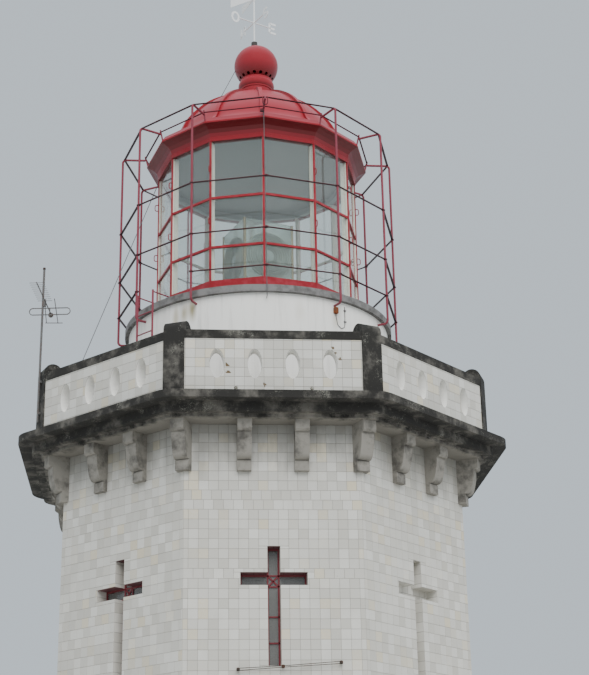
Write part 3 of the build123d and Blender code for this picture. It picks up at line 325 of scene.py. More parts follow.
def make_piece(name, shape, material, body="tower", smooth=True, closed=True, values=None):
    """Puts a shape into a named mesh with its finish and any values per point, and lets it ride with
    its body."""
    points, faces = shape
    mesh = bpy.data.meshes.new(name)
    mesh.from_pydata(points.tolist(), [], faces.tolist())
    for key, value in (values or {}).items():
        attribute = mesh.attributes.new(key, "FLOAT", "POINT")
        attribute.data.foreach_set("value", np.asarray(value, np.float32))
    if closed:
        work = bmesh.new()
        work.from_mesh(mesh)
        bmesh.ops.remove_doubles(work, verts=work.verts, dist=1e-6)
        bmesh.ops.recalc_face_normals(work, faces=work.faces)
        work.to_mesh(mesh)
        work.free()
    mesh.materials.append(material)
    mesh.polygons.foreach_set("use_smooth", np.full(len(mesh.polygons), smooth))
    piece = bpy.data.objects.new(name, mesh)
    bpy.context.scene.collection.objects.link(piece)
    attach(piece, body)
    return piece


# Finishes


# Sockets by number. A Mix takes its share at 0 and two colours, and gives a colour. A Map Range takes
# its value at 0, what it runs between at 1 and 2, and what these become at 3 and 4.
MIX_A, MIX_B, MIX_COLOUR = 6, 7, 2


def node(tree, kind, links=None, out=0, **settings):
    """Adds one shader node with its settings, values and links, and gives one of its outputs."""
    made = tree.nodes.new("ShaderNode" + kind)
    for key, value in settings.items():
        setattr(made, key, value)
    for key, value in (links or {}).items():
        if isinstance(value, bpy.types.NodeSocket):
            tree.links.new(value, made.inputs[key])
        else:
            made.inputs[key].default_value = value
    return made.outputs[out]


def finish(name, build):
    """A material whose tree is made once by its own function."""
    found = bpy.data.materials.get(name)
    if found:
        return found
    made = bpy.data.materials.new(name)
    made.use_nodes = True
    made.node_tree.nodes.clear()
    shader = build(made.node_tree)
    node_output = made.node_tree.nodes.new("ShaderNodeOutputMaterial")
    made.node_tree.links.new(shader, node_output.inputs["Surface"])
    return made


def round_coordinates(tree, count, first=0.0):
    """Place on a many-sided tower: along the nearest side, out from the axis, and up. The bearing is
    arctan(x / -y); the nearest side's bearing is taken off it, and sine and cosine of what is left
    times the radius give the two lengths. Gives the side's bearing and the plain place too."""
    step = 2 * math.pi / count
    place = node(tree, "TexCoord", out="Object")
    x, y, z = node(tree, "SeparateXYZ", {0: place}).node.outputs
    back = node(tree, "Math", {0: y, 1: -1.0}, operation="MULTIPLY")
    bearing = node(tree, "Math", {0: x, 1: back}, operation="ARCTAN2")
    moved = node(tree, "Math", {0: bearing, 1: step / 2 - first}, operation="ADD")
    nearest = node(tree, "Math", {0: moved, 1: step}, operation="SNAP")
    nearest = node(tree, "Math", {0: nearest, 1: first}, operation="ADD")
    left = node(tree, "Math", {0: bearing, 1: nearest}, operation="SUBTRACT")
    flat = node(tree, "CombineXYZ", {0: x, 1: y})
    radius = node(tree, "VectorMath", {0: flat}, out="Value", operation="LENGTH")
    sine = node(tree, "Math", {0: left}, operation="SINE")
    cosine = node(tree, "Math", {0: left}, operation="COSINE")
    along = node(tree, "Math", {0: radius, 1: sine}, operation="MULTIPLY")
    away = node(tree, "Math", {0: radius, 1: cosine}, operation="MULTIPLY")
    return along, away, z, nearest, place


def facing_up(tree):
    """How far a surface faces up: 1 on a floor, 0 on a wall and -1 on a soffit."""
    return node(tree, "SeparateXYZ", {0: node(tree, "NewGeometry", out="Normal")}, out="Z")


def overlaid(tree, shader, share, over, under=None):
    """A finish with one more colour laid over its own, or over another, as far as the share says."""
    base = shader.node.inputs["Base Color"]
    if under is None:
        under = base.links[0].from_socket
    mixed = node(tree, "Mix", {0: share, MIX_A: under, MIX_B: over}, MIX_COLOUR, data_type="RGBA")
    tree.links.new(mixed, base)
    return shader


def grimed_and_shaded(tree, base, place):
    """Darkens a wall finish under the gallery in uneven runs: grime where rain never washes it, and painted
    shade under the slab.
    """
    height = node(tree, "SeparateXYZ", {0: place}, out="Z")
    stretched = node(tree, "Mapping", {"Vector": place, "Scale": (3.5, 3.5, 0.8)})
    runs = node(tree, "TexNoise", {"Vector": stretched, "Scale": 1.0, "Detail": 5.0, "Roughness": 0.6})
    reach = node(tree, "MapRange", {0: runs, 1: 0.3, 2: 0.7, 3: -0.25, 4: 0.25})
    ragged = node(tree, "Math", {0: height, 1: reach}, operation="ADD")
    # Painted shade and grime: darker towards the slab above, in ragged runs
    soot = node(tree, "MapRange", {0: ragged, 1: WALL_TOP - 0.85, 2: WALL_TOP - 0.05, 3: 0.0, 4: 0.62},
                interpolation_type="SMOOTHSTEP")
    below = node(tree, "Math", {0: height, 1: LEDGE - 0.1}, operation="LESS_THAN")
    soot = node(tree, "Math", {0: soot, 1: below}, operation="MULTIPLY")
    return node(tree, "Mix", {0: soot, MIX_A: base, MIX_B: colours().grime_and_shade}, MIX_COLOUR, data_type="RGBA")


def glazed_tile(tree):
    """Glazed stoneware tile: a glassy skin over pale clay, so it is smooth and catches the sky softly,
    while every tile took the kiln a little differently and dust dulls it."""
    colour = colours()
    place = node(tree, "TexCoord", out="Object")
    tint = node(tree, "Attribute", out="Fac", attribute_name="tint")
    other = node(tree, "TexWhiteNoise", {"W": tint}, noise_dimensions="1D")
    base = node(tree, "Mix", {0: tint, MIX_A: colour.glaze_dull, MIX_B: colour.glaze}, MIX_COLOUR,
                data_type="RGBA")
    warm = node(tree, "MapRange", {0: other, 1: 0.88, 2: 0.97, 3: 0.0, 4: 0.75})
    base = node(tree, "Mix", {0: warm, MIX_A: base, MIX_B: colour.glaze_cream}, MIX_COLOUR, data_type="RGBA")
    clouds = node(tree, "TexNoise", {"Vector": place, "Scale": 0.9, "Detail": 5.0, "Roughness": 0.6})
    dirt = node(tree, "MapRange", {0: clouds, 1: 0.42, 2: 0.72, 3: 0.0, 4: 0.55},
                interpolation_type="SMOOTHSTEP")
    base = node(tree, "Mix", {0: dirt, MIX_A: base, MIX_B: colour.glaze_dull}, MIX_COLOUR, data_type="RGBA")
    specks = node(tree, "TexNoise", {"Vector": place, "Scale": 26.0, "Detail": 3.0, "Roughness": 0.7})
    speck = node(tree, "MapRange", {0: specks, 1: 0.70, 2: 0.80, 3: 0.0, 4: 0.7},
                 interpolation_type="SMOOTHSTEP")
    base = node(tree, "Mix", {0: speck, MIX_A: base, MIX_B: colour.mortar}, MIX_COLOUR, data_type="RGBA")
    # Grime, and painted shade under the gallery's slab
    base = grimed_and_shaded(tree, base, place)
    bare = node(tree, "Attribute", out="Fac", attribute_name="bare")
    broken = node(tree, "MapRange", {0: bare, 1: 0.3, 2: 0.6})
    base = node(tree, "Mix", {0: broken, MIX_A: base, MIX_B: colour.mortar}, MIX_COLOUR, data_type="RGBA")
    rough = node(tree, "MapRange", {0: clouds, 1: 0.3, 2: 0.7, 3: 0.30, 4: 0.50})
    rough = node(tree, "Math", {0: rough, 1: broken}, operation="MAXIMUM")
    ripple = node(tree, "TexNoise", {"Vector": place, "Scale": 14.0, "Detail": 2.0})
    bump = node(tree, "Bump", {"Strength": 0.25, "Distance": 0.003, "Height": ripple})
    return node(tree, "BsdfPrincipled", {"Base Color": base, "Roughness": rough, "Normal": bump, "IOR": 1.5})


def tile_joints(tree, along, height, pitch, joint):
    """How much of a point is joint, from 0 to 1, and the tile's own number: the distance to the nearest
    line of a square net is a triangle wave of the pitch."""
    row = node(tree, "Math", {0: height, 1: pitch}, operation="DIVIDE")
    row = node(tree, "Math", {0: row}, operation="FLOOR")
    column = node(tree, "Math", {0: along, 1: pitch}, operation="DIVIDE")
    column = node(tree, "Math", {0: column}, operation="FLOOR")
    number = node(tree, "CombineXYZ", {0: column, 1: row})
    near_column = node(tree, "Math", {0: along, 1: pitch / 2}, operation="PINGPONG")
    near_row = node(tree, "Math", {0: height, 1: pitch / 2}, operation="PINGPONG")
    near = node(tree, "Math", {0: near_column, 1: near_row}, operation="MINIMUM")
    mask = node(tree, "MapRange", {0: near, 1: joint * 0.35, 2: joint * 0.8, 3: 1.0, 4: 0.0})
    return mask, number


def tiled_cement(tree, apothem, soffits_painted=False):
    """Tiles bedded on a cement wall: drawn joints show inside the window reveals, the outer face behind
    the tile pieces is grout, and the soffits of glazed windows are painted."""
    colour, size = colours(), sizes()
    along, away, height, nearest, place = round_coordinates(tree, TOWER_SIDES)
    joint, number = tile_joints(tree, along, height, size.tile_pitch, size.tile_joint * 1.6)
    whole = node(tree, "VectorMath", {0: number, 1: (0, 0, 1.0)}, operation="ADD")
    side = node(tree, "CombineXYZ", {2: nearest})
    whole = node(tree, "VectorMath", {0: whole, 1: side}, operation="ADD")
    tint = node(tree, "TexWhiteNoise", {"Vector": whole}, noise_dimensions="3D")
    base = node(tree, "Mix", {0: tint, MIX_A: colour.glaze_dull, MIX_B: colour.glaze}, MIX_COLOUR,
                data_type="RGBA")
    clouds = node(tree, "TexNoise", {"Vector": place, "Scale": 1.7, "Detail": 6.0, "Roughness": 0.62})
    dirt = node(tree, "MapRange", {0: clouds, 1: 0.45, 2: 0.75, 3: 0.0, 4: 0.6},
                interpolation_type="SMOOTHSTEP")
    base = node(tree, "Mix", {0: dirt, MIX_A: base, MIX_B: colour.glaze_dull}, MIX_COLOUR, data_type="RGBA")
    base = node(tree, "Mix", {0: joint, MIX_A: base, MIX_B: colour.grout}, MIX_COLOUR, data_type="RGBA")
    outer = node(tree, "MapRange", {0: away, 1: apothem - 0.003, 2: apothem - 0.001})
    base = node(tree, "Mix", {0: outer, MIX_A: base, MIX_B: colour.grout}, MIX_COLOUR, data_type="RGBA")
    # Grime, and painted shade under the gallery's slab
    base = grimed_and_shaded(tree, base, place)
    if soffits_painted:
        down = node(tree, "MapRange", {0: facing_up(tree), 1: -0.8, 2: -0.6, 3: 1.0, 4: 0.0})
        base = node(tree, "Mix", {0: down, MIX_A: base, MIX_B: colour.soffit_red}, MIX_COLOUR,
                    data_type="RGBA")
    rough = node(tree, "MapRange", {0: joint, 3: 0.42, 4: 0.9})
    height_map = node(tree, "Math", {0: joint, 1: -1.0}, operation="MULTIPLY")
    bump = node(tree, "Bump", {"Strength": 0.6, "Distance": 0.003, "Height": height_map})
    return node(tree, "BsdfPrincipled", {"Base Color": base, "Roughness": rough, "Normal": bump, "IOR": 1.5})


def blind_wall(tree):
    """Tiled cement of a side with a blind cross: the recess is tiled like the face."""
    return tiled_cement(tree, TOWER_APOTHEM)


def window_wall(tree):
    """Tiled cement of a side with a glazed cross: dull red paint shows under its soffits."""
    return tiled_cement(tree, TOWER_APOTHEM, soffits_painted=True)


def parapet_plaster(tree):
    """The parapet under its tiles: grout and brown mortar outside, where tiles have fallen, and smooth
    limewashed plaster on the inner side and in the ovals, chalky and faintly streaked."""
    colour = colours()
    _, away, _, _, place = round_coordinates(tree, TOWER_SIDES)
    clouds = node(tree, "TexNoise", {"Vector": place, "Scale": 5.0, "Detail": 6.0, "Roughness": 0.65})
    streak = node(tree, "MapRange", {0: clouds, 1: 0.45, 2: 0.8, 3: 0.0, 4: 0.45},
                  interpolation_type="SMOOTHSTEP")
    base = node(tree, "Mix", {0: streak, MIX_A: colour.plaster, MIX_B: colour.glaze_dull}, MIX_COLOUR,
                data_type="RGBA")
    bedding = node(tree, "Mix", {0: streak, MIX_A: colour.grout, MIX_B: colour.mortar}, MIX_COLOUR,
                   data_type="RGBA")
    outer = node(tree, "MapRange", {0: away, 1: PANEL_APOTHEM - 0.003, 2: PANEL_APOTHEM - 0.001})
    base = node(tree, "Mix", {0: outer, MIX_A: base, MIX_B: bedding}, MIX_COLOUR, data_type="RGBA")
    grain = node(tree, "TexNoise", {"Vector": place, "Scale": 40.0, "Detail": 5.0, "Roughness": 0.7})
    bump = node(tree, "Bump", {"Strength": 0.4, "Distance": 0.004, "Height": grain})
    return node(tree, "BsdfPrincipled", {"Base Color": base, "Roughness": 0.8, "Normal": bump})


def blackened_cement(tree):
    """Cast cement left to sea weather: black algae and soot, washed grey in places, round pale lichen and
    white salt specks. Wholly matt, with a coarse grain."""
    colour = colours()
    place = node(tree, "TexCoord", out="Object")
    clouds = node(tree, "TexNoise", {"Vector": place, "Scale": 2.6, "Detail": 8.0, "Roughness": 0.68})
    washed = node(tree, "MapRange", {0: clouds, 1: 0.46, 2: 0.68}, interpolation_type="SMOOTHSTEP")
    base = node(tree, "Mix", {0: washed, MIX_A: colour.cement_dark, MIX_B: colour.cement_grey}, MIX_COLOUR,
                data_type="RGBA")
    stretched = node(tree, "Mapping", {"Vector": place, "Scale": (7.0, 7.0, 1.2)})
    runs = node(tree, "TexNoise", {"Vector": stretched, "Scale": 1.0, "Detail": 5.0})
    run = node(tree, "MapRange", {0: runs, 1: 0.52, 2: 0.75, 3: 0.0, 4: 0.7},
               interpolation_type="SMOOTHSTEP")
    base = node(tree, "Mix", {0: run, MIX_A: base, MIX_B: colour.cement_dark}, MIX_COLOUR, data_type="RGBA")
    ragged = node(tree, "TexNoise", {"Vector": place, "Scale": 46.0, "Detail": 5.0, "Roughness": 0.75})
    colony = node(tree, "TexNoise", {"Vector": place, "Scale": 3.3, "Detail": 3.0, "Roughness": 0.6})
    dense = node(tree, "MapRange", {0: colony, 1: 0.50, 2: 0.70, 3: 0.0, 4: 0.16})
    crust = node(tree, "Math", {0: ragged, 1: dense}, operation="ADD")
    patch = node(tree, "MapRange", {0: crust, 1: 0.64, 2: 0.72, 3: 0.0, 4: 0.8})
    base = node(tree, "Mix", {0: patch, MIX_A: base, MIX_B: colour.lichen}, MIX_COLOUR, data_type="RGBA")
    grain = node(tree, "TexNoise", {"Vector": place, "Scale": 60.0, "Detail": 6.0, "Roughness": 0.75})
    bump = node(tree, "Bump", {"Strength": 0.8, "Distance": 0.012, "Height": grain})
    return node(tree, "BsdfPrincipled", {"Base Color": base, "Roughness": 0.92, "Normal": bump})


def slab_cement(tree):
    """The slab's cement: as black as the coping outside, and paler where it is sheltered near the wall."""
    shader = blackened_cement(tree)
    _, away, height, _, place = round_coordinates(tree, TOWER_SIDES)
    clouds = node(tree, "TexNoise", {"Vector": place, "Scale": 3.1, "Detail": 7.0, "Roughness": 0.65})
    ragged = node(tree, "MapRange", {0: clouds, 3: -0.45, 4: 0.45})
    reach = node(tree, "Math", {0: away, 1: ragged}, operation="ADD")
    sheltered = node(tree, "MapRange", {0: reach, 1: TOWER_APOTHEM + 0.26, 2: TOWER_APOTHEM + 0.46,
                                        3: 0.85, 4: 0.0})
    beneath = node(tree, "MapRange", {0: height, 1: LEDGE - 0.14, 2: LEDGE - 0.10, 3: 1.0, 4: 0.0})
    sheltered = node(tree, "Math", {0: sheltered, 1: beneath}, operation="MULTIPLY")
    return overlaid(tree, shader, sheltered, colours().stone)


def bracket_cement(tree):
    """Cast cement brackets: grey, rough and blotched by damp, darker where water stands."""
    colour = colours()
    place = node(tree, "TexCoord", out="Object")
    clouds = node(tree, "TexNoise", {"Vector": place, "Scale": 3.6, "Detail": 7.0, "Roughness": 0.66})
    stain = node(tree, "MapRange", {0: clouds, 1: 0.42, 2: 0.70, 3: 0.0, 4: 0.8},
                 interpolation_type="SMOOTHSTEP")
    base = node(tree, "Mix", {0: stain, MIX_A: colour.stone, MIX_B: colour.stone_stain}, MIX_COLOUR,
                data_type="RGBA")
    small = node(tree, "TexNoise", {"Vector": place, "Scale": 18.0, "Detail": 5.0, "Roughness": 0.7})
    pale = node(tree, "MapRange", {0: small, 1: 0.60, 2: 0.72, 3: 0.0, 4: 0.6})
    base = node(tree, "Mix", {0: pale, MIX_A: base, MIX_B: colour.lichen}, MIX_COLOUR, data_type="RGBA")
    grain = node(tree, "TexNoise", {"Vector": place, "Scale": 45.0, "Detail": 6.0, "Roughness": 0.75})
    bump = node(tree, "Bump", {"Strength": 0.8, "Distance": 0.010, "Height": grain})
    return node(tree, "BsdfPrincipled", {"Base Color": base, "Roughness": 0.9, "Normal": bump})


def plain_cement(tree, base_colour, dark_colour, scale=4.0):
    """Rough stone or floated cement: matt, clouded, with a fine grain."""
    place = node(tree, "TexCoord", out="Object")
    clouds = node(tree, "TexNoise", {"Vector": place, "Scale": scale, "Detail": 7.0, "Roughness": 0.65})
    stain = node(tree, "MapRange", {0: clouds, 1: 0.40, 2: 0.70, 3: 0.0, 4: 0.7},
                 interpolation_type="SMOOTHSTEP")
    base = node(tree, "Mix", {0: stain, MIX_A: base_colour, MIX_B: dark_colour}, MIX_COLOUR, data_type="RGBA")
    grain = node(tree, "TexNoise", {"Vector": place, "Scale": 55.0, "Detail": 5.0, "Roughness": 0.7})
    bump = node(tree, "Bump", {"Strength": 0.6, "Distance": 0.006, "Height": grain})
    return node(tree, "BsdfPrincipled", {"Base Color": base, "Roughness": 0.88, "Normal": bump})


def plinth_stone(tree):
    """Cut stone of the plinth: grey and rough, stained by splashed rain."""
    return plain_cement(tree, colours().base_stone, colours().stone_stain)


def floor_cement(tree):
    """Floated cement of the floors indoors: matt, in broad faint clouds."""
    return plain_cement(tree, colours().floor_grey, colours().stone_stain, 2.0)


def rim_cement(tree):
    """Trowelled cement of the lantern floor's edge: mid grey with small damp stains."""
    return plain_cement(tree, colours().rim_grey, colours().stone_stain, 5.0)


# Damp runs on the drum: angle, distance below its top and strength
DRUM_STAINS = ((-32, 0.18, 0.8), (-36, 0.22, 0.7), (-40, 0.26, 0.5), (30.5, 0.36, 0.3), (14, 0.30, 0.15),
               (90, 0.3, 0.4), (-90, 0.3, 0.4))


def limewash(tree):
    """Limewash brushed on render: chalky, nearly matt, with faint runs under the rim and yellow-green
    damp below the feet of the cage."""
    colour = colours()
    place = node(tree, "TexCoord", out="Object")
    stretched = node(tree, "Mapping", {"Vector": place, "Scale": (9.0, 9.0, 0.7)})
    runs = node(tree, "TexNoise", {"Vector": stretched, "Scale": 1.0, "Detail": 5.0, "Roughness": 0.6})
    run = node(tree, "MapRange", {0: runs, 1: 0.48, 2: 0.75, 3: 0.0, 4: 0.28},
               interpolation_type="SMOOTHSTEP")
    base = node(tree, "Mix", {0: run, MIX_A: colour.render, MIX_B: colour.stone}, MIX_COLOUR,
                data_type="RGBA")
    for angle, down, strength in DRUM_STAINS:
        centre = Vector(round_axis(DRUM_RADIUS, angle, DRUM_TOP - down))
        squeezed = node(tree, "VectorMath", {0: place, 1: centre}, operation="SUBTRACT")
        squeezed = node(tree, "VectorMath", {0: squeezed, 1: (9.0, 9.0, 3.6)}, operation="MULTIPLY")
        far = node(tree, "VectorMath", {0: squeezed}, out="Value", operation="LENGTH")
        far = node(tree, "Math", {0: far, 1: runs}, operation="ADD")
        spot = node(tree, "MapRange", {0: far, 1: 0.5, 2: 1.5, 3: strength, 4: 0.0},
                    interpolation_type="SMOOTHSTEP")
        base = node(tree, "Mix", {0: spot, MIX_A: base, MIX_B: colour.olive}, MIX_COLOUR, data_type="RGBA")
    brush = node(tree, "TexNoise", {"Vector": place, "Scale": 22.0, "Detail": 5.0})
    bump = node(tree, "Bump", {"Strength": 0.35, "Distance": 0.004, "Height": brush})
    return node(tree, "BsdfPrincipled", {"Base Color": base, "Roughness": 0.75, "Normal": bump})


def roof_gloss(tree):
    """Gloss oil paint on iron plate: a clear skin that mirrors the sky softly, lighter on what faces up,
    where the paint is bleached and a sky reflection is painted, and darker on what faces down by painted
    shade.
    """
    colour = colours()
    place = node(tree, "TexCoord", out="Object")
    rise = facing_up(tree)
    # Painted sky reflection over bleached paint: lighter on what faces up, unevenly
    up = node(tree, "MapRange", {0: rise, 1: 0.15, 2: 0.95, 3: 0.0, 4: 0.8})
    clouds = node(tree, "TexNoise", {"Vector": place, "Scale": 2.2, "Detail": 5.0, "Roughness": 0.6})
    uneven = node(tree, "MapRange", {0: clouds, 1: 0.3, 2: 0.7, 3: 0.55, 4: 1.1})
    up = node(tree, "Math", {0: up, 1: uneven}, operation="MULTIPLY")
    base = node(tree, "Mix", {0: up, MIX_A: colour.roof_red, MIX_B: colour.roof_faded_and_sky_sheen}, MIX_COLOUR,
                data_type="RGBA")
    # Painted shade: darker on what faces down
    down = node(tree, "MapRange", {0: rise, 1: -0.75, 2: -0.15, 3: 0.9, 4: 0.0})
    base = node(tree, "Mix", {0: down, MIX_A: base, MIX_B: colour.roof_painted_shade}, MIX_COLOUR, data_type="RGBA")
    rough = node(tree, "MapRange", {0: clouds, 1: 0.3, 2: 0.7, 3: 0.32, 4: 0.48})
    brush = node(tree, "TexNoise", {"Vector": place, "Scale": 9.0, "Detail": 3.0})
    bump = node(tree, "Bump", {"Strength": 0.3, "Distance": 0.006, "Height": brush})
    return node(tree, "BsdfPrincipled", {"Base Color": base, "Roughness": rough, "Normal": bump,
                                         "Coat Weight": 0.12, "Coat Roughness": 0.3})


def cornice_gloss(tree):
    """The roof's gloss paint, with the grey paint of the lantern's ceiling inside the glass."""
    shader = roof_gloss(tree)
    _, away, height, _, _ = round_coordinates(tree, LANTERN_SIDES, math.radians(HALF_PANE))
    inside = node(tree, "MapRange", {0: away, 1: MULLION_RADIUS - 0.17, 2: MULLION_RADIUS - 0.165,
                                     3: 1.0, 4: 0.0})
    below = node(tree, "MapRange", {0: height, 1: GLASS_TOP + 0.13, 2: GLASS_TOP + 0.14, 3: 1.0, 4: 0.0})
    inside = node(tree, "Math", {0: inside, 1: below}, operation="MULTIPLY")
    return overlaid(tree, shader, inside, colours().ceiling)


def two_colour_paint(tree, first, limit):
    """Gloss red outside and cream inside the limit, which is a distance from the axis along the
    nearest corner or face."""
    colour = colours()
    _, away, _, _, place = round_coordinates(tree, LANTERN_SIDES, first)
    inside = node(tree, "MapRange", {0: away, 1: limit - 0.003, 2: limit, 3: 1.0, 4: 0.0})
    clouds = node(tree, "TexNoise", {"Vector": place, "Scale": 8.0, "Detail": 5.0})
    worn = node(tree, "MapRange", {0: clouds, 1: 0.45, 2: 0.8, 3: 0.0, 4: 0.5})
    red = node(tree, "Mix", {0: worn, MIX_A: colour.roof_red, MIX_B: colour.roof_faded_and_sky_sheen}, MIX_COLOUR,
               data_type="RGBA")
    base = node(tree, "Mix", {0: inside, MIX_A: red, MIX_B: colour.cream}, MIX_COLOUR, data_type="RGBA")
    bump = node(tree, "Bump", {"Strength": 0.3, "Distance": 0.002, "Height": clouds})
    return node(tree, "BsdfPrincipled", {"Base Color": base, "Roughness": 0.42, "Normal": bump})


def glazing_paint(tree):
    """The glazing posts' paint: red on the outer edge alone."""
    return two_colour_paint(tree, 0.0, MULLION_RADIUS - 0.020)


def curb_paint(tree):
    """The paint of the curb and the glazing bars between the posts: red on the outer face."""
    return two_colour_paint(tree, math.radians(HALF_PANE), CURB_FACE - 0.030)


def old_paint(tree, top, under=None):
    """Thin old oil paint on steel bar: half matt, patchy, with rust coming through in spots."""
    colour = colours()
    place = node(tree, "TexCoord", out="Object")
    clouds = node(tree, "TexNoise", {"Vector": place, "Scale": 6.0, "Detail": 6.0, "Roughness": 0.65})
    dull = node(tree, "MapRange", {0: clouds, 1: 0.35, 2: 0.75, 3: 0.0, 4: 0.45})
    base = node(tree, "Mix", {0: dull, MIX_A: top, MIX_B: colour.window_red}, MIX_COLOUR, data_type="RGBA")
    # Painted shade: an under colour darkens what faces down
    if under is not None:
        down = node(tree, "MapRange", {0: facing_up(tree), 1: -0.5, 2: 0.5, 3: 0.95, 4: 0.0})
        base = node(tree, "Mix", {0: down, MIX_A: base, MIX_B: under}, MIX_COLOUR, data_type="RGBA")
    spots = node(tree, "TexNoise", {"Vector": place, "Scale": 38.0, "Detail": 4.0, "Roughness": 0.75})
    spot = node(tree, "MapRange", {0: spots, 1: 0.66, 2: 0.74})
    base = node(tree, "Mix", {0: spot, MIX_A: base, MIX_B: colour.rust}, MIX_COLOUR, data_type="RGBA")
    bump = node(tree, "Bump", {"Strength": 0.3, "Distance": 0.002, "Height": spots})
    return node(tree, "BsdfPrincipled", {"Base Color": base, "Roughness": 0.5, "Normal": bump})


def grip_paint(tree):
    """The roof's red on the grips, worn by hands."""
    return old_paint(tree, colours().roof_red)


def cage_paint(tree):
    """Dark red oil paint on the cage's steel bars, bleached towards pink."""
    return old_paint(tree, colours().cage_red)


def ring_paint_shaded_below(tree):
    """Brown-red oil paint on the ring bars, with painted shade making what faces down nearly black."""
    return old_paint(tree, colours().window_red, colours().cage_painted_shade)


def window_paint(tree):
    """Brown-red oil paint on the steel frames and bars of the crosses."""
    return old_paint(tree, colours().window_red)


def door_paint(tree):
    """Brown-red oil paint on the boarded doors."""
    return old_paint(tree, colours().window_red)


def bare_metal(tree, base_colour, roughness, metallic):
    """Weathered bare metal: a dull crust over a metal that still shines a little."""
    colour = colours()
    place = node(tree, "TexCoord", out="Object")
    clouds = node(tree, "TexNoise", {"Vector": place, "Scale": 16.0, "Detail": 5.0, "Roughness": 0.7})
    dull = node(tree, "MapRange", {0: clouds, 1: 0.45, 2: 0.8, 3: 0.0, 4: 0.55})
    base = node(tree, "Mix", {0: dull, MIX_A: base_colour, MIX_B: colour.rust}, MIX_COLOUR, data_type="RGBA")
    rough = node(tree, "MapRange", {0: clouds, 3: roughness - 0.1, 4: roughness + 0.2})
    bump = node(tree, "Bump", {"Strength": 0.3, "Distance": 0.001, "Height": clouds})
    return node(tree, "BsdfPrincipled", {"Base Color": base, "Roughness": rough, "Metallic": metallic,
                                         "Normal": bump})


def galvanised_steel(tree):
    """Hot-dipped steel wire and cable: spangled grey gone dull."""
    return bare_metal(tree, colours().zinc, 0.5, 0.7)


def aerial_alloy(tree):
    """Drawn aluminium tube that salt air has dulled."""
    return bare_metal(tree, colours().alloy, 0.5, 0.7)


def optic_brass(tree):
    """Cast brass of the optic, long unpolished."""
    return bare_metal(tree, colours().brass, 0.4, 0.8)


def weathered_iron(tree):
    """Bare iron gone dark brown."""
    return bare_metal(tree, colours().stone_stain, 0.6, 0.5)


def rusty_iron(tree):
    """Iron box whose paint has gone: orange rust, matt and scaly."""
    return plain_cement(tree, colours().rust, colours().stone_stain, 20.0)


def machine_paint(tree):
    """Grey-green enamel on the optic's cast iron, patchy with age."""
    return old_paint(tree, colours().machine)


def vane_paint(tree):
    """Old white paint on the mast and arms, over a rusty nut at the foot."""
    colour = colours()
    shader = old_paint(tree, colour.vane_white)
    height = node(tree, "SeparateXYZ", {0: node(tree, "TexCoord", out="Object")}, out="Z")
    nut = node(tree, "MapRange", {0: height, 1: BALL_TOP + 0.120, 2: BALL_TOP + 0.124, 3: 1.0, 4: 0.0})
    return overlaid(tree, shader, nut, colour.stone_stain, colour.vane_white)


def sheet_glass(tree, tint, roughness, dust):
    """Glass that lets lamps through: its own shader for the eye, clear for light on its way to what it
    covers, and a thin film of dust."""
    place = node(tree, "TexCoord", out="Object")
    clouds = node(tree, "TexNoise", {"Vector": place, "Scale": 3.0, "Detail": 5.0})
    film = node(tree, "MapRange", {0: clouds, 1: 0.35, 2: 0.75, 3: roughness, 4: roughness + 0.06})
    glass = node(tree, "BsdfPrincipled", {"Base Color": tint, "Roughness": film, "IOR": 1.5,
                                          "Transmission Weight": 1.0 - dust})
    clear = node(tree, "BsdfTransparent", {"Color": tint})
    ray = node(tree, "LightPath", out="Is Shadow Ray")
    return node(tree, "MixShader", {0: ray, 1: glass, 2: clear})


def lantern_pane(tree):
    """Polished plate glass of the lantern: clear, with a trace of dust."""
    return sheet_glass(tree, colours().pane, 0.0, 0.04)


def lens_glass(tree):
    """Ground lens glass: green through its thickness, and hazier than the panes."""
    return sheet_glass(tree, colours().lens, 0.03, 0.22)


def dusty_window(tree):
    """Old sheet glass of the crosses, grey with dust."""
    return sheet_glass(tree, colours().dark_pane, 0.06, 0.38)


def studio_cement(tree):
    """The studio's plain floor: pale and wholly matt."""
    return node(tree, "BsdfPrincipled", {"Base Color": colours().studio_floor, "Roughness": 0.9})


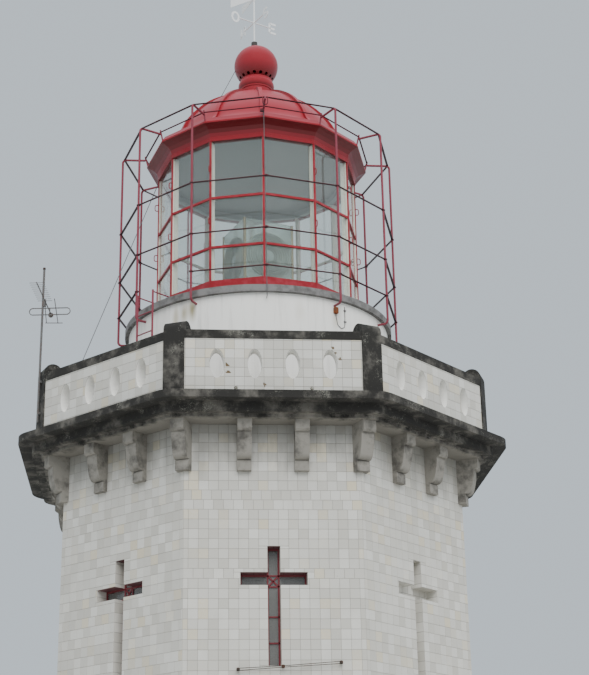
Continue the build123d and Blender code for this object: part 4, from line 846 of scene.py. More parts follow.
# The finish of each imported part
NODE_FINISHES = {
    **{f"wall_{side}": ("Tiled window wall", window_wall) for side in SIDES},
    **{f"wall_{side}": ("Tiled blind wall", blind_wall) for side in BLIND},
    "plinth_stones": ("Plinth stone", plinth_stone),
    "ground_floor": ("Floated cement", floor_cement),
    "watch_room_floor": ("Floated cement", floor_cement),
    "cross_window_frames": ("Old window paint", window_paint),
    "cross_window_glass": ("Dusty window glass", dusty_window),
    "doors": ("Old door paint", door_paint),
    "gallery_slab": ("Blackened slab cement", slab_cement),
    "corner_brackets": ("Stained bracket cement", bracket_cement),
    "face_brackets": ("Stained bracket cement", bracket_cement),
    "parapet_panels": ("Parapet plaster", parapet_plaster),
    "parapet_coping": ("Blackened cement", blackened_cement),
    "corner_posts": ("Blackened cement", blackened_cement),
    "drum_front": ("Limewashed render", limewash),
    "drum_back": ("Limewashed render", limewash),
    "lantern_floor": ("Grey rim cement", rim_cement),
    "lantern_curb": ("Curb paint", curb_paint),
    "lantern_mullions": ("Glazing paint", glazing_paint),
    "lantern_transoms": ("Curb paint", curb_paint),
    "lantern_glass": ("Plate glass", lantern_pane),
    "roof_cornice": ("Cornice gloss paint", cornice_gloss),
    "roof_dome": ("Roof gloss paint", roof_gloss),
    "roof_ribs": ("Roof gloss paint", roof_gloss),
    "ventilator_neck": ("Roof gloss paint", roof_gloss),
    "ventilator_ball": ("Roof gloss paint", roof_gloss),
    "vane_mast": ("Old white paint", vane_paint),
    "vane_rotor": ("Old white paint", vane_paint),
    "cage_poles": ("Faded cage paint", cage_paint),
    "cage_legs": ("Faded cage paint", cage_paint),
    "cage_stays": ("Faded cage paint", cage_paint),
    "cage_rings": ("Ring paint shaded below", ring_paint_shaded_below),
    "access_ladder": ("Faded cage paint", cage_paint),
    "lightning_wire": ("Galvanised steel", galvanised_steel),
    "optic_pedestal": ("Machine paint", machine_paint),
    "optic_table": ("Machine paint", machine_paint),
    "optic_lens": ("Lens glass", lens_glass),
    "optic_frame": ("Dull brass", optic_brass),
    "tv_aerial": ("Weathered aerial alloy", aerial_alloy),
}


class LIGHTHOUSE_OT_studio(bpy.types.Operator):
    """Sets up the camera of the photograph, soft light and a plain floor"""
    bl_idname = "lighthouse.studio"
    bl_label = "Studio"

    def execute(self, context):
        scene = context.scene
        lens = bpy.data.cameras.new("photograph_camera")
        lens.lens = CAMERA_LENS
        lens.sensor_width = 36
        lens.clip_end = 500
        camera = bpy.data.objects.new("photograph_camera", lens)
        scene.collection.objects.link(camera)
        ahead = Vector((math.sin(CAMERA_BEARING) * math.cos(CAMERA_PITCH),
                        math.cos(CAMERA_BEARING) * math.cos(CAMERA_PITCH), math.sin(CAMERA_PITCH)))
        right = ahead.cross(Vector((0, 0, 1))).normalized()
        above = right.cross(ahead)
        turned_right = math.cos(CAMERA_ROLL) * right + math.sin(CAMERA_ROLL) * above
        turned_up = math.cos(CAMERA_ROLL) * above - math.sin(CAMERA_ROLL) * right
        pose = Matrix((turned_right, turned_up, -ahead)).transposed().to_4x4()
        pose.translation = Vector(CAMERA_PLACE)
        camera.matrix_world = pose
        scene.camera = camera

        world = bpy.data.worlds.new("studio_light")
        world.use_nodes = True
        background = world.node_tree.nodes["Background"]
        background.inputs["Color"].default_value = colours().studio_sky
        background.inputs["Strength"].default_value = SKY_STRENGTH
        scene.world = world
        for name, direction, strength, spread in LIGHTS:
            sun = bpy.data.lights.new(name, "SUN")
            sun.energy = strength
            sun.angle = math.radians(spread)
            lamp = bpy.data.objects.new(name, sun)
            lamp.visible_glossy = False
            lamp.rotation_mode = "QUATERNION"
            lamp.rotation_quaternion = Vector(direction).to_track_quat("-Z", "Y")
            scene.collection.objects.link(lamp)

        rings = np.linspace(0, sizes().floor_radius, 5)
        turns = np.linspace(0, 360, 96, endpoint=False)
        points = round_axis(rings[:, None], turns[None, :], -FLOOR_GAP)
        floor = make_piece("studio_floor", grid(points, close_columns=True),
                           finish("Studio floor", studio_cement))
        floor.parent = None
        return {"FINISHED"}


class LIGHTHOUSE_OT_coats(bpy.types.Operator):
    """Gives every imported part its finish"""
    bl_idname = "lighthouse.coats"
    bl_label = "Coats on the packed parts"

    def execute(self, context):
        for name, part in NODES.items():
            made = finish(*NODE_FINISHES[name])
            for holder in part.material_slots:
                holder.material = made
        return {"FINISHED"}


# Pieces


# A sliver of a tile narrower than this is left out
SLIVER = 0.012


def cut_out(tiles, hole):
    """Tiles with a rectangular hole cut out of them: a tile that overlaps it is split into what is left
    of it, right of it, below it and above it, as limits on its four edges."""
    left, right, bottom, top = tiles.T
    x0, x1, z0, z1 = hole
    hit = (left < x1) & (right > x0) & (bottom < z1) & (top > z0)
    cut = tiles[hit]
    l, r, b, t = cut.T
    middle_low, middle_high = np.maximum(b, z0), np.minimum(t, z1)
    pieces = np.concatenate([
        np.stack([l, np.minimum(r, x0), middle_low, middle_high], 1),
        np.stack([np.maximum(l, x1), r, middle_low, middle_high], 1),
        np.stack([l, r, b, np.minimum(t, z0)], 1),
        np.stack([l, r, np.maximum(b, z1), t], 1)])
    keep = (pieces[:, 1] - pieces[:, 0] > SLIVER) & (pieces[:, 3] - pieces[:, 2] > SLIVER)
    return np.concatenate([tiles[~hit], pieces[keep]])


# Share of the rows that start part of a tile over
SHIFTED_ROWS = 0.10


def tile_rows(width, bottom, top, pitch, chance, shifted=SHIFTED_ROWS):
    """Tiles of a wall, row by row: the lines step by the pitch up from the foot and out from the middle,
    and some rows start part of a tile over."""
    rows = math.ceil((top - bottom) / pitch - 0.05)
    edges = np.append(bottom + pitch * np.arange(rows), top)
    start = -math.floor(width / pitch) / 2 - 1
    columns = (start + np.arange(math.floor(width / pitch) + 3)) * pitch
    shift = np.where(chance.random(rows) < shifted, chance.choice([0.3, 0.5], rows), 0) * pitch
    starts = columns[None, :] + shift[:, None]
    left, right = (np.clip(across, -width / 2, width / 2) for across in (starts, starts + pitch))
    bottoms, tops = (np.broadcast_to(level[:, None], left.shape) for level in (edges[:-1], edges[1:]))
    tiles = np.stack([left, right, bottoms, tops], -1).reshape(-1, 4)
    return tiles[tiles[:, 1] - tiles[:, 0] > SLIVER]


# How unevenly tiles are bedded: the usual lean of a corner, and lift of a face
TILE_LEAN = 0.0006
TILE_LIFT = 0.0003
# Points along a tile's edge, and along that of a tile beside a hole
TILE_POINTS = 4
FINE_POINTS = 10


def tile_grids(tiles, size, chance, side=TILE_POINTS):
    """Each tile as a low tray turned over: a square grid of points whose rim lies in the joint and
    whose face stands proud by the rise, leaning and lifted by a hair so that no two catch the light
    alike. Gives each point's place across, up and out, and the tiles' tints."""
    count = len(tiles)
    half_joint, slope = size.tile_joint / 2, size.tile_joint * 0.6
    left, right = tiles[:, 0] + half_joint, tiles[:, 1] - half_joint
    bottom, top = tiles[:, 2] + half_joint, tiles[:, 3] - half_joint
    share = np.linspace(0, 1, side - 2)
    across, up = (np.concatenate([start, start + slope + (end - start - 2 * slope) * share, end], 1)
                  for start, end in ((left[:, None], right[:, None]), (bottom[:, None], top[:, None])))
    inner = np.pad(np.ones(side - 2), 1)
    lean = chance.normal(0, TILE_LEAN, (count, 2))
    lift = chance.normal(0, TILE_LIFT, count)
    place = np.linspace(-1, 1, side)
    rise = (size.tile_rise + lift[:, None, None] + lean[:, 0, None, None] * place[None, None, :]
            + lean[:, 1, None, None] * place[None, :, None]) * (inner[:, None] * inner[None, :])
    across, up, rise = np.broadcast_arrays(across[:, None, :], up[:, :, None], rise)
    return np.stack([across, up, rise], -1), chance.random(count)


def tile_surface(grids, angle, apothem):
    """Tiles' grids as one shape on a side: each point is the side's foot plus its three lengths."""
    count, side = grids.shape[:2]
    points = on_side(angle, apothem, grids[..., 0], grids[..., 1], grids[..., 2])
    faces = grid(np.zeros((side, side, 3)))[1][:, ::-1]
    step = np.arange(count) * side * side
    return points.reshape(-1, 3), (faces[None] + step[:, None, None]).reshape(-1, 4)


def pierce(grids, holes):
    """Bends tiles' points out of oval holes: a point inside an oval moves from its centre to its rim, at
    the bedding's level. Gives the new grids and which points lay inside."""
    inside = np.zeros(grids.shape[:-1], bool)
    for across, up, half_width, half_height in holes:
        offset = grids[..., :2] - (across, up)
        far = np.hypot(offset[..., 0] / half_width, offset[..., 1] / half_height)
        within = far < 1
        rim = offset / np.maximum(far, 0.02)[..., None] + (across, up)
        rim = np.concatenate([rim, np.zeros((*far.shape, 1))], -1)
        grids = np.where(within[..., None], rim, grids)
        inside |= within
    return grids, inside


def without_inside(shape, inside, values):
    """A shape without the faces whose four points all lie inside a hole, nor the points left over."""
    points, faces = shape
    faces = faces[~inside.reshape(-1)[faces].all(1)]
    used, faces = np.unique(faces, return_inverse=True)
    return (points[used], faces.reshape(-1, 4)), {key: value[used] for key, value in values.items()}


def chipped(grids, patches):
    """How bare each point is where tiles are broken away: 1 inside a patch whose radius waves three and
    five times round its centre, and 0 outside."""
    bare = np.zeros(grids.shape[:-1])
    for across, up, radius in patches:
        offset = grids[..., :2] - (across, up)
        turn = np.arctan2(offset[..., 1], offset[..., 0])
        reach = radius * (1 + 0.28 * np.sin(3 * turn + 40 * across) + 0.16 * np.sin(5 * turn + 25 * up))
        bare = np.maximum(bare, np.hypot(offset[..., 0], offset[..., 1]) < reach)
    return bare


# The crosses: half the width of the shaft, half the length of the bar, and the bar's two edges
CROSS_HALF_WIDTH = 0.095
CROSS_ARM = 0.5
CROSS_BAR_TOP = CROSS_HIGH - 0.395
CROSS_BAR_LOW = CROSS_BAR_TOP - 0.19
ENTRANCE_HALF_WIDTH = 0.45
ENTRANCE_TOP = DOOR_FOOT + 2.05


class LIGHTHOUSE_OT_wall_tiles(bpy.types.Operator):
    """Lays the glazed tiles on the eight walls, cut round the crosses and the entrance"""
    bl_idname = "lighthouse.wall_tiles"
    bl_label = "Wall tiles"

    def execute(self, context):
        size = sizes()
        chance = np.random.default_rng(18)
        for name, angle in SIDES.items():
            tiles = tile_rows(FACE_WIDTH, PLINTH_TOP, WALL_TOP, size.tile_pitch, chance)
            tiles = cut_out(tiles, (-CROSS_HALF_WIDTH, CROSS_HALF_WIDTH, CROSS_LOW, CROSS_HIGH))
            tiles = cut_out(tiles, (-CROSS_ARM, CROSS_ARM, CROSS_BAR_LOW, CROSS_BAR_TOP))
            if name == "back":
                tiles = cut_out(tiles, (-ENTRANCE_HALF_WIDTH, ENTRANCE_HALF_WIDTH, DOOR_FOOT, ENTRANCE_TOP))
            grids, tint = tile_grids(tiles, size, chance)
            make_piece(f"tiles_{name}", tile_surface(grids, angle, TOWER_APOTHEM),
                       finish("Glazed wall tile", glazed_tile), closed=False, smooth=False,
                       values={"tint": np.repeat(tint, TILE_POINTS ** 2)})
        return {"FINISHED"}


PANEL_HALF_WIDTH = 1.364
# Holes in each panel: place across, height over the ledge, and half their width and height
OVALS = tuple((across, 0.515, 0.112, 0.237) for across in (-0.87, -0.29, 0.29, 0.87))
DRAINS = ((-0.58, 0.122, 0.032, 0.032), (0.58, 0.122, 0.032, 0.032))
MORTAR_RISE = 0.0005
# Where the front parapet's tiles are broken: place across, height over the ledge, and radius
CHIPS = ((-0.715, 0.486, 0.030), (-0.690, 0.375, 0.026), (-0.138, 0.170, 0.024), (0.917, 0.785, 0.022),
         (1.020, 0.600, 0.026), (0.950, 0.700, 0.020), (-0.160, 0.070, 0.020))


class LIGHTHOUSE_OT_parapet_tiles(bpy.types.Operator):
    """Lays the glazed tiles on the parapet, bent round its ovals and drain holes"""
    bl_idname = "lighthouse.parapet_tiles"
    bl_label = "Parapet tiles"

    def execute(self, context):
        size = sizes()
        chance = np.random.default_rng(7)
        holes = [(across, LEDGE + up, wide, tall) for across, up, wide, tall in OVALS + DRAINS]
        shapes, tints, bares = [], [], []
        for name, angle in SIDES.items():
            tiles = tile_rows(2 * PANEL_HALF_WIDTH, LEDGE, PANEL_TOP, size.tile_pitch, chance, shifted=0)
            chips = CHIPS if name == "front" else ()
            patches = [(across, LEDGE + up, radius) for across, up, radius in chips]
            spots = holes + [(across, up, 1.5 * radius, 1.5 * radius) for across, up, radius in patches]
            near = np.zeros(len(tiles), bool)
            for across, up, wide, tall in spots:
                near |= ((tiles[:, 0] < across + wide) & (tiles[:, 1] > across - wide)
                         & (tiles[:, 2] < up + tall) & (tiles[:, 3] > up - tall))
            for part, side in ((tiles[~near], TILE_POINTS), (tiles[near], FINE_POINTS)):
                grids, tint = tile_grids(part, size, chance, side)
                bare = chipped(grids, patches)
                grids[..., 2] = np.where(bare > 0, MORTAR_RISE, grids[..., 2])
                grids, inside = pierce(grids, holes)
                values = {"tint": np.repeat(tint, side * side), "bare": bare.reshape(-1)}
                shape, values = without_inside(tile_surface(grids, angle, PANEL_APOTHEM), inside, values)
                shapes.append(shape)
                tints.append(values["tint"])
                bares.append(values["bare"])
        make_piece("parapet_tiles", join(shapes), finish("Glazed wall tile", glazed_tile),
                   closed=False, smooth=False,
                   values={"tint": np.concatenate(tints), "bare": np.concatenate(bares)})
        return {"FINISHED"}


# The cross rails of each window's shaft, and how thick its bars are
RAIL_HEIGHTS = (LEDGE - 3.234, LEDGE - 3.622)
BAR_THICKNESS = 0.012


class LIGHTHOUSE_OT_window_bars(bpy.types.Operator):
    """Fits the bars and the small diagonal cross of each cross window"""
    bl_idname = "lighthouse.window_bars"
    bl_label = "Window bars"

    def execute(self, context):
        width = sizes().bar_width
        shapes = []
        middle = (CROSS_BAR_TOP + CROSS_BAR_LOW) / 2
        reach = CROSS_HALF_WIDTH - 0.012
        foot, head = middle - reach, middle + reach
        lines = [((-reach, reach), (foot, head)), ((-reach, reach), (head, foot))]
        lines += [((-reach - 0.01, reach + 0.01), (rail, rail)) for rail in (*RAIL_HEIGHTS, foot, head)]
        lines += [((across, across), (foot, head)) for across in (-reach, reach)]
        for name, angle in SIDES.items():
            if name in BLIND:
                continue
            out = outward(angle)[0]
            for across, climb in lines:
                path = on_side(angle, REVEAL_APOTHEM - BAR_THICKNESS / 2, np.array(across), np.array(climb))
                shapes.append(carry(oblong(BAR_THICKNESS, width), path, out))
        make_piece("window_bars", join(shapes), finish("Old window paint", window_paint),
                   smooth=False)
        return {"FINISHED"}


GRIP_HEIGHTS = (LEDGE + 3.91, LEDGE + 4.92)


class LIGHTHOUSE_OT_grips(bpy.types.Operator):
    """Bends the hand grips on the lantern's glazing posts"""
    bl_idname = "lighthouse.grips"
    bl_label = "Glazing grips"

    def execute(self, context):
        size = sizes()
        turn = np.linspace(-math.pi / 2, math.pi / 2, 15)
        reach = MULLION_RADIUS - 0.004 + size.grip_reach * np.abs(np.cos(turn)) ** 0.45
        climb = size.grip_height / 2 * np.sign(np.sin(turn)) * np.abs(np.sin(turn)) ** 0.6
        shapes = []
        for angle in LANTERN_CORNERS:
            across = outward(angle)[1]
            for height in GRIP_HEIGHTS:
                path = round_axis(reach, angle, height + climb)
                shapes.append(carry(circle(size.grip_radius, 6), path, across))
        make_piece("glazing_grips", join(shapes), finish("Grip paint", grip_paint))
        return {"FINISHED"}


# Rows of rivets: height, radius of the plate's corners, and how many on each of the lantern's sides
CORNICE_BAND_RADIUS = MULLION_RADIUS + 0.0097
RIVET_ROWS = ((GLASS_TOP + 0.026, CORNICE_BAND_RADIUS, 10), (GLASS_TOP + 0.066, CORNICE_BAND_RADIUS, 10),
              (CORNICE_TOP - 0.115, CORNICE_RADIUS, 14))


def rivet(radius):
    """A rivet's head: a low dome, the radius times the cosine out, and about half of it times the sine up."""
    rise = np.linspace(0, math.pi / 2, 4)
    outline = np.stack([radius * np.cos(rise), 0.55 * radius * np.sin(rise)], -1)
    outline = np.concatenate([[[radius, -0.3 * radius]], outline])
    return lathe(outline, (0, 0, 0), (0, 0, 1), 8)


class LIGHTHOUSE_OT_rivets(bpy.types.Operator):
    """Sets the rows of rivets on the roof's cornice"""
    bl_idname = "lighthouse.rivets"
    bl_label = "Roof rivets"

    def execute(self, context):
        size = sizes()
        head = rivet(size.rivet_radius)
        centres, axes = [], []
        half_step = math.radians(HALF_PANE)
        for height, corner_radius, count in RIVET_ROWS:
            apothem = corner_radius * math.cos(half_step)
            half = corner_radius * math.sin(half_step)
            for corner in LANTERN_CORNERS:
                along = (np.arange(count) + 0.5) / count * 2 * half - half
                centres.append(on_side(corner + HALF_PANE, apothem, along, height))
                axes.append(np.broadcast_to(side_axes(corner + HALF_PANE), (count, 3, 3)))
        make_piece("roof_rivets", repeat(head, np.concatenate(centres), np.concatenate(axes)),
                   finish("Roof gloss paint", roof_gloss))
        return {"FINISHED"}


# The cage: the line of its poles, and the heights of its ring bars
POLE_LINE = CAGE_RADIUS - 0.020
RING_HEIGHTS = (RIM_TOP + 0.299, RIM_TOP + 0.990, RIM_TOP + 1.948)


class LIGHTHOUSE_OT_cage_clamps(bpy.types.Operator):
    """Clamps the ring bars of the cage to its poles"""
    bl_idname = "lighthouse.cage_clamps"
    bl_label = "Cage clamps"

    def execute(self, context):
        nut = [(0, -0.006), (0.009, -0.006), (0.009, 0.008), (0, 0.010)]
        half = (0.030, 0.016, 0.027)
        shapes = []
        for angle in LANTERN_CORNERS:
            for height in RING_HEIGHTS:
                shapes.append(soft_block(round_axis(POLE_LINE, angle, height), half, side_axes(angle)))
                seat = round_axis(POLE_LINE + half[2], angle, height)
                shapes.append(lathe(nut, seat, outward(angle)[0], 6))
        make_piece("cage_clamps", join(shapes), finish("Ring paint shaded below", ring_paint_shaded_below))
        return {"FINISHED"}


# The vane's arms: the bearing of each, their height, how far they reach, and a letter's thickness
NORTH, EAST, SOUTH, WEST = 208, 118, 28, 298
VANE_ARMS = BALL_TOP + 0.575
VANE_REACH = 0.35
LETTER_THICKNESS = 0.008


class LIGHTHOUSE_OT_vane_letters(bpy.types.Operator):
    """Cuts the four cardinal letters at the ends of the vane's arms"""
    bl_idname = "lighthouse.vane_letters"
    bl_label = "Vane letters"

    def execute(self, context):
        size = sizes()
        tall, wide = size.letter_height, size.letter_width
        ring = np.linspace(0, 2 * math.pi, 21)
        oval = np.stack([wide / 2 * np.cos(ring), tall / 2 * np.sin(ring)], -1)
        bend = np.linspace(0.25 * math.pi, 1.5 * math.pi, 9)
        upper = np.stack([wide / 2 * np.cos(bend), tall / 4 + tall / 4 * np.sin(bend)], -1)
        ess = np.concatenate([upper, -upper[::-1][1:]])
        h, v = wide / 2, tall / 2
        letters = {
            EAST: [[(-h, -v), (-h, v)], [(-h, v), (h, v)], [(-h, 0), (h * 0.6, 0)], [(-h, -v), (h, -v)]],
            NORTH: [[(-h, -v), (-h, v)], [(-h, v), (h, -v)], [(h, -v), (h, v)]],
            SOUTH: [ess],
            WEST: [oval],
        }
        shapes = []
        for angle, strokes in letters.items():
            out, side = outward(angle)
            centre = out * (VANE_REACH + wide / 2) + np.array([MAST_PLACE, 0, VANE_ARMS])
            for stroke in strokes:
                stroke = np.asarray(stroke, float)
                path = centre + stroke[:, :1] * out + stroke[:, 1:] * UP
                shapes.append(carry(oblong(LETTER_THICKNESS, size.stroke_width), path, side))
        make_piece("vane_letters", join(shapes), finish("Old white paint", vane_paint),
                   smooth=False)
        return {"FINISHED"}


# The optic's four lens panels: the bearing of the first, their distance from the axis, the height of
# their middles, and the thickness of their glass. The plain glass lies a little behind the prisms.
PANEL_BEARING = 21
LENS_APOTHEM = 0.49
LENS_FOCUS = RIM_TOP + 1.38
LENS_THICKNESS = 0.036
PLAIN_DEPTH = 0.014
# Each lens: its eye's share of the radius, its rings of prisms, and the dark joints between them
EYE_SHARE = 0.26
PRISM_RINGS = 11
LENS_JOINTS = 8


def lens_outline(radius):
    """Half section of a ringed lens: a bulging eye, its rise times the cosine, then prisms that each
    stand up at once and fall slowly."""
    eye = radius * EYE_SHARE
    swell = np.linspace(0, 1, 6)
    front = [(eye * s, 0.016 * math.cos(s * math.pi / 2)) for s in swell]
    step = (radius - eye) / PRISM_RINGS
    for ring in range(PRISM_RINGS):
        inner = eye + ring * step
        front += [(inner + 0.001, 0.022), (inner + step * 0.90, 0.001)]
    return [(0, -LENS_THICKNESS), (radius, -LENS_THICKNESS), (radius, 0.002)] + front[::-1]


def lens_places():
    """The middle of each lens, with the directions out of it and along it."""
    for quarter in range(4):
        out, side = outward(PANEL_BEARING + 90 * quarter)
        yield out * LENS_APOTHEM + np.array([0, 0, LENS_FOCUS]), out, side


class LIGHTHOUSE_OT_lenses(bpy.types.Operator):
    """Grinds the four ringed lenses of the optic, set in plain glass panels"""
    bl_idname = "lighthouse.lenses"
    bl_label = "Lens panels"

    def execute(self, context):
        radius = sizes().lens_radius
        half = LENS_APOTHEM - 0.040
        direction = circle(1, 64)
        tall = np.where(direction[:, 1] > 0, LENS_HIGH - LENS_FOCUS, LENS_FOCUS - LENS_LOW)
        reach = np.maximum(np.abs(direction[:, 0]) / half, np.abs(direction[:, 1]) / tall)
        inner, outer = direction * radius, direction / reach[:, None]
        loop = [(inner, LENS_THICKNESS), (outer, LENS_THICKNESS), (outer, PLAIN_DEPTH), (inner, PLAIN_DEPTH)]
        shapes = []
        for centre, out, side in lens_places():
            shapes.append(lathe(lens_outline(radius), centre - out * PLAIN_DEPTH, out, 64))
            points = np.stack([centre + flat[:, :1] * side + flat[:, 1:] * UP - depth * out
                               for flat, depth in loop])
            shapes.append(grid(points, close_rows=True, close_columns=True))
        panels = make_piece("lens_panels", join(shapes), finish("Lens glass", lens_glass), body="optic",
                            smooth=False)
        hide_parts("optic_lens")
        return {"FINISHED"}


def lens_joint(radius, centre, out, side):
    """A thin flat ring: an oblong profile carried once round a circle, closed on itself."""
    turn = circle(1, 48)
    ray = turn[:, :1] * side + turn[:, 1:] * UP
    section = oblong(0.004, 0.010)
    points = centre + (radius + section[None, :, 0, None]) * ray[:, None] + section[None, :, 1, None] * out
    return grid(points, close_rows=True, close_columns=True)


class LIGHTHOUSE_OT_lens_joints(bpy.types.Operator):
    """Sets the dark rings between the prisms of each lens"""
    bl_idname = "lighthouse.lens_joints"
    bl_label = "Lens joints"

    def execute(self, context):
        radii = np.linspace(EYE_SHARE, 1.0, LENS_JOINTS) * sizes().lens_radius
        shapes = [lens_joint(radius, centre + 0.002 * out, out, side)
                  for centre, out, side in lens_places() for radius in radii]
        make_piece("lens_joints", join(shapes), finish("Dull brass", optic_brass), body="optic")
        return {"FINISHED"}


# The strap under the cage's head ring, and where the thin rod's sleeve and clamp sit
CAGE_HEAD = high("cage_stays", Z) - 0.020
STRAP_RADIUS = 2.470
STRAP_WIDTH = 0.085
STRAP_DROP = 0.150
ROD_SLEEVE = (-0.030, -2.090, LEDGE + 5.850)
ROD_CLAMP = (0, -2.297, LEDGE + 3.497)


class LIGHTHOUSE_OT_cage_head(bpy.types.Operator):
    """Hangs the strap at the front of the cage's head ring, and the sleeve and clamp of the thin rod"""
    bl_idname = "lighthouse.cage_head"
    bl_label = "Cage head fittings"

    def execute(self, context):
        turn = np.linspace(0, math.pi, 9)
        half = STRAP_WIDTH / 2
        across = np.concatenate([[-half], -half * np.cos(turn), [half]])
        drop = np.concatenate([[0], STRAP_DROP - half + half * np.sin(turn), [0]])
        path = np.stack([across, np.full(len(across), -STRAP_RADIUS), CAGE_HEAD - drop], -1)
        shapes = [carry(circle(0.009), path, (0, -1.0, 0)),
                  soft_block(ROD_SLEEVE, (0.034, 0.030, 0.022), side_axes(0)),
                  soft_block(ROD_CLAMP, (0.016, 0.020, 0.014), side_axes(0))]
        make_piece("cage_head_fittings", join(shapes), finish("Ring paint shaded below", ring_paint_shaded_below))
        return {"FINISHED"}


# The roof wire's two ends: on the ball, and on the dome
WIRE_TOP = np.array([-0.405, 0, 17.167])
WIRE_FOOT = round_axis(0.955, -47, LEDGE + 6.92)


class LIGHTHOUSE_OT_roof_wire(bpy.types.Operator):
    """Draws the thin wire from the ball down to the dome"""
    bl_idname = "lighthouse.roof_wire"
    bl_label = "Roof wire"

    def execute(self, context):
        path = WIRE_TOP + np.linspace(0, 1, 8)[:, None] * (WIRE_FOOT - WIRE_TOP)
        make_piece("roof_wire", carry(circle(0.005, 6), path, (0, 1.0, 0)),
                   finish("Weathered iron", weathered_iron))
        return {"FINISHED"}


# The aerial's mast at its boom's height, the directions along the boom and across it, and the mast's top
AERIAL_MAST = np.array([-3.724, -1.542, LEDGE + 2.36])
AERIAL_TURN = np.array([[0.1045, 0.9945, 0.0], [0.9945, -0.1045, 0.0]])
AERIAL_CAP = 0.64
# The thin rods: how many, the first one's place along the boom, their spacing, and the boom's way off
ROD_COUNT = 10
ROD_FIRST = -0.87
ROD_STEP = 0.085
BOOM_SIDE = 0.053


class LIGHTHOUSE_OT_aerial_rods(bpy.types.Operator):
    """Fits the thin rods across the aerial's boom, and the cap of its mast"""
    bl_idname = "lighthouse.aerial_rods"
    bl_label = "Aerial rods"

    def execute(self, context):
        along, across = AERIAL_TURN
        half = sizes().director_length * np.array([[-0.5], [0.5]]) * across
        shapes = []
        for step in range(ROD_COUNT):
            centre = AERIAL_MAST + along * (ROD_STEP * step + ROD_FIRST) + across * BOOM_SIDE
            shapes.append(carry(circle(0.004, 6), centre + half, UP))
        make_piece("aerial_rods", join(shapes), finish("Weathered aerial alloy", aerial_alloy))
        cap = lathe([(0, -0.025), (0.024, -0.025), (0.024, 0.006), (0.014, 0.012), (0, 0.012)],
                    AERIAL_MAST + AERIAL_CAP * UP, UP, 12)
        make_piece("aerial_cap", cap, finish("Weathered iron", weathered_iron))
        return {"FINISHED"}


# The doors look back. Their boards' width, the gallery door's width, the height of a hinge as a share
# of the door's, and of a pull above its foot.
DOOR_BEARING = 180
DOOR_THICKNESS = 0.050
BOARD_WIDTH = 0.14
GALLERY_DOOR_WIDTH = 0.70
HINGE_SHARES = (0.15, 0.82)
PULL_HEIGHT = 1.0


def boarded_door(width, foot, height, face):
    """Boards and two strap hinges as soft-edged blocks on a door's outer face, and a pull bent to half
    a circle: its cosine stands out and its sine goes up."""
    count = round(width / BOARD_WIDTH)
    pitch = width / count
    axes = side_axes(DOOR_BEARING)
    shapes = []
    for board in range(count):
        across = (board + 0.5) * pitch - width / 2
        centre = on_side(DOOR_BEARING, face + 0.004, across, foot + height / 2)
        shapes.append(soft_block(centre, (pitch / 2 - 0.003, height / 2 - 0.004, 0.009), axes, 0.08, 8))
    for share in HINGE_SHARES:
        centre = on_side(DOOR_BEARING, face + 0.016, -0.04, foot + share * height)
        shapes.append(soft_block(centre, (width / 2 - 0.06, 0.028, 0.005), axes, 0.1, 8))
    pull = np.linspace(-math.pi / 2, math.pi / 2, 9)
    path = on_side(DOOR_BEARING, face + 0.012 + 0.045 * np.cos(pull), np.full(len(pull), width * 0.38),
                   foot + PULL_HEIGHT + 0.09 * np.sin(pull))
    shapes.append(carry(circle(0.008), path, outward(DOOR_BEARING)[1]))
    return join(shapes)


class LIGHTHOUSE_OT_door_boards(bpy.types.Operator):
    """Boards the two doors at the back, with hinges and pulls"""
    bl_idname = "lighthouse.door_boards"
    bl_label = "Door boards"

    def execute(self, context):
        entrance = boarded_door(2 * ENTRANCE_HALF_WIDTH, DOOR_FOOT, ENTRANCE_TOP - DOOR_FOOT,
                                high("doors", Y))
        gallery = boarded_door(GALLERY_DOOR_WIDTH, DRUM_FOOT, high("doors", Z) - DRUM_FOOT,
                               low("doors", Y) + DOOR_THICKNESS)
        make_piece("door_boards", join([entrance, gallery]), finish("Old door paint", door_paint))
        return {"FINISHED"}


# The lamp box's bearing and height over the ledge, and the cable's way from it to the rim: bearing, and
# height over the ledge. Its clips hold the last, upright run.
LAMP_BOX_ANGLE = 30.3
LAMP_BOX_HEIGHT = 2.113
CABLE = ((30.6, 2.044), (31.4, 1.870), (33.3, 1.820), (35.1, 1.860), (35.4, 2.000), (35.4, 2.200),
         (35.4, 2.230))
CLIP_HEIGHTS = (2.161, 1.960)


class LIGHTHOUSE_OT_drum_fittings(bpy.types.Operator):
    """Fixes the lamp box, its cable and the cable's clips to the drum"""
    bl_idname = "lighthouse.drum_fittings"
    bl_label = "Drum fittings"

    def execute(self, context):
        radius = sizes().wire_radius
        centre = round_axis(DRUM_RADIUS + 0.028, LAMP_BOX_ANGLE, LEDGE + LAMP_BOX_HEIGHT)
        box = soft_block(centre, (0.038, 0.058, 0.032), side_axes(LAMP_BOX_ANGLE))
        make_piece("lamp_box", box, finish("Rusty box", rusty_iron))
        steps = np.linspace(0, len(CABLE) - 1, 40)
        knots = np.arange(len(CABLE))
        angle, climb = (np.interp(steps, knots, column) for column in np.array(CABLE).T)
        soft = np.array([0.25, 0.5, 0.25])
        angle[1:-1] = np.convolve(angle, soft, "valid")
        climb[1:-1] = np.convolve(climb, soft, "valid")
        shapes = [carry(circle(radius, 6), round_axis(DRUM_RADIUS + radius, angle, LEDGE + climb),
                        (0.5, -0.8, 0))]
        run = CABLE[-1][0]
        for height in CLIP_HEIGHTS:
            shapes.append(soft_block(round_axis(DRUM_RADIUS + 0.008, run, LEDGE + height),
                                     (0.024, 0.010, 0.014), side_axes(run)))
        make_piece("drum_cable", join(shapes), finish("Galvanised steel", galvanised_steel))
        return {"FINISHED"}


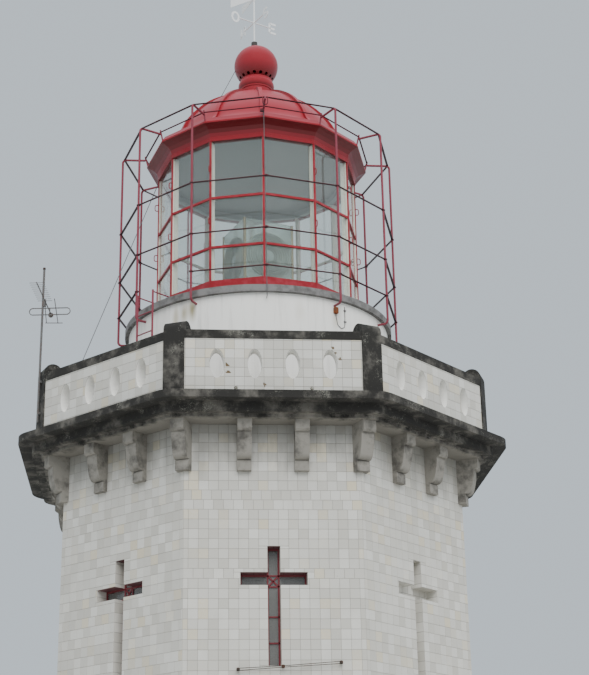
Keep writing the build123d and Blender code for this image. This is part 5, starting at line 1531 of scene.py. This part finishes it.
# The two thin rods under the front window: the line of each over and under the knobs' middles, how far
# they stand off the wall, and the knobs' places across and over the ledge
ROD_LINES = (0.016, -0.016)
ROD_STAND = 0.055
KNOBS = np.array([(-0.541, -4.040), (0.113, -4.000), (0.962, -3.944)])


class LIGHTHOUSE_OT_wall_rods(bpy.types.Operator):
    """Hangs the two thin rods and their knobs under the front window"""
    bl_idname = "lighthouse.wall_rods"
    bl_label = "Wall rods"

    def execute(self, context):
        radius = sizes().wire_radius * 0.8
        across, height = KNOBS[:, 0], LEDGE + KNOBS[:, 1]
        shapes = []
        for gap in ROD_LINES:
            path = on_side(0, TOWER_APOTHEM + ROD_STAND, across, height + gap * np.array([1, 0.6, 1]))
            shapes.append(carry(circle(radius, 6), path, UP))
        feet = on_side(0, TOWER_APOTHEM - 0.01, across, height)
        centres = on_side(0, TOWER_APOTHEM + ROD_STAND, across, height)
        for foot, centre in zip(feet, centres):
            shapes.append(soft_block(centre, (0.026, 0.026, 0.022), side_axes(0), 0.6))
            shapes.append(carry(circle(0.008, 8), np.stack([foot, centre]), UP))
        make_piece("wall_rods", join(shapes), finish("Weathered iron", weathered_iron))
        return {"FINISHED"}


class LIGHTHOUSE_PT_panel(bpy.types.Panel):
    """Lists the lighthouse's sizes, colours and pieces"""
    bl_idname = "LIGHTHOUSE_PT_panel"
    bl_label = "Lighthouse"
    bl_space_type = "VIEW_3D"
    bl_region_type = "UI"
    bl_category = "Lighthouse"

    def draw(self, context):
        layout = self.layout
        for group in (context.scene.lighthouse_sizes, context.scene.lighthouse_colours):
            for key in group.__annotations__:
                layout.prop(group, key)
        for operator in OPERATORS:
            layout.operator(operator.bl_idname)


OPERATORS = (
    LIGHTHOUSE_OT_studio,
    LIGHTHOUSE_OT_coats,
    LIGHTHOUSE_OT_wall_tiles,
    LIGHTHOUSE_OT_parapet_tiles,
    LIGHTHOUSE_OT_window_bars,
    LIGHTHOUSE_OT_grips,
    LIGHTHOUSE_OT_rivets,
    LIGHTHOUSE_OT_cage_clamps,
    LIGHTHOUSE_OT_vane_letters,
    LIGHTHOUSE_OT_lenses,
    LIGHTHOUSE_OT_lens_joints,
    LIGHTHOUSE_OT_cage_head,
    LIGHTHOUSE_OT_roof_wire,
    LIGHTHOUSE_OT_aerial_rods,
    LIGHTHOUSE_OT_door_boards,
    LIGHTHOUSE_OT_drum_fittings,
    LIGHTHOUSE_OT_wall_rods,
)
CLASSES = (LighthouseSizes, LighthouseColours, *OPERATORS, LIGHTHOUSE_PT_panel)


def register():
    for made in CLASSES:
        bpy.utils.register_class(made)
    bpy.types.Scene.lighthouse_sizes = bpy.props.PointerProperty(type=LighthouseSizes)
    bpy.types.Scene.lighthouse_colours = bpy.props.PointerProperty(type=LighthouseColours)


def unregister():
    del bpy.types.Scene.lighthouse_colours
    del bpy.types.Scene.lighthouse_sizes
    for made in reversed(CLASSES):
        bpy.utils.unregister_class(made)


def main():
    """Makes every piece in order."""
    register()
    for operator in OPERATORS:
        group, name = operator.bl_idname.split(".")
        getattr(getattr(bpy.ops, group), name)()


if __name__ == "__main__":
    main()
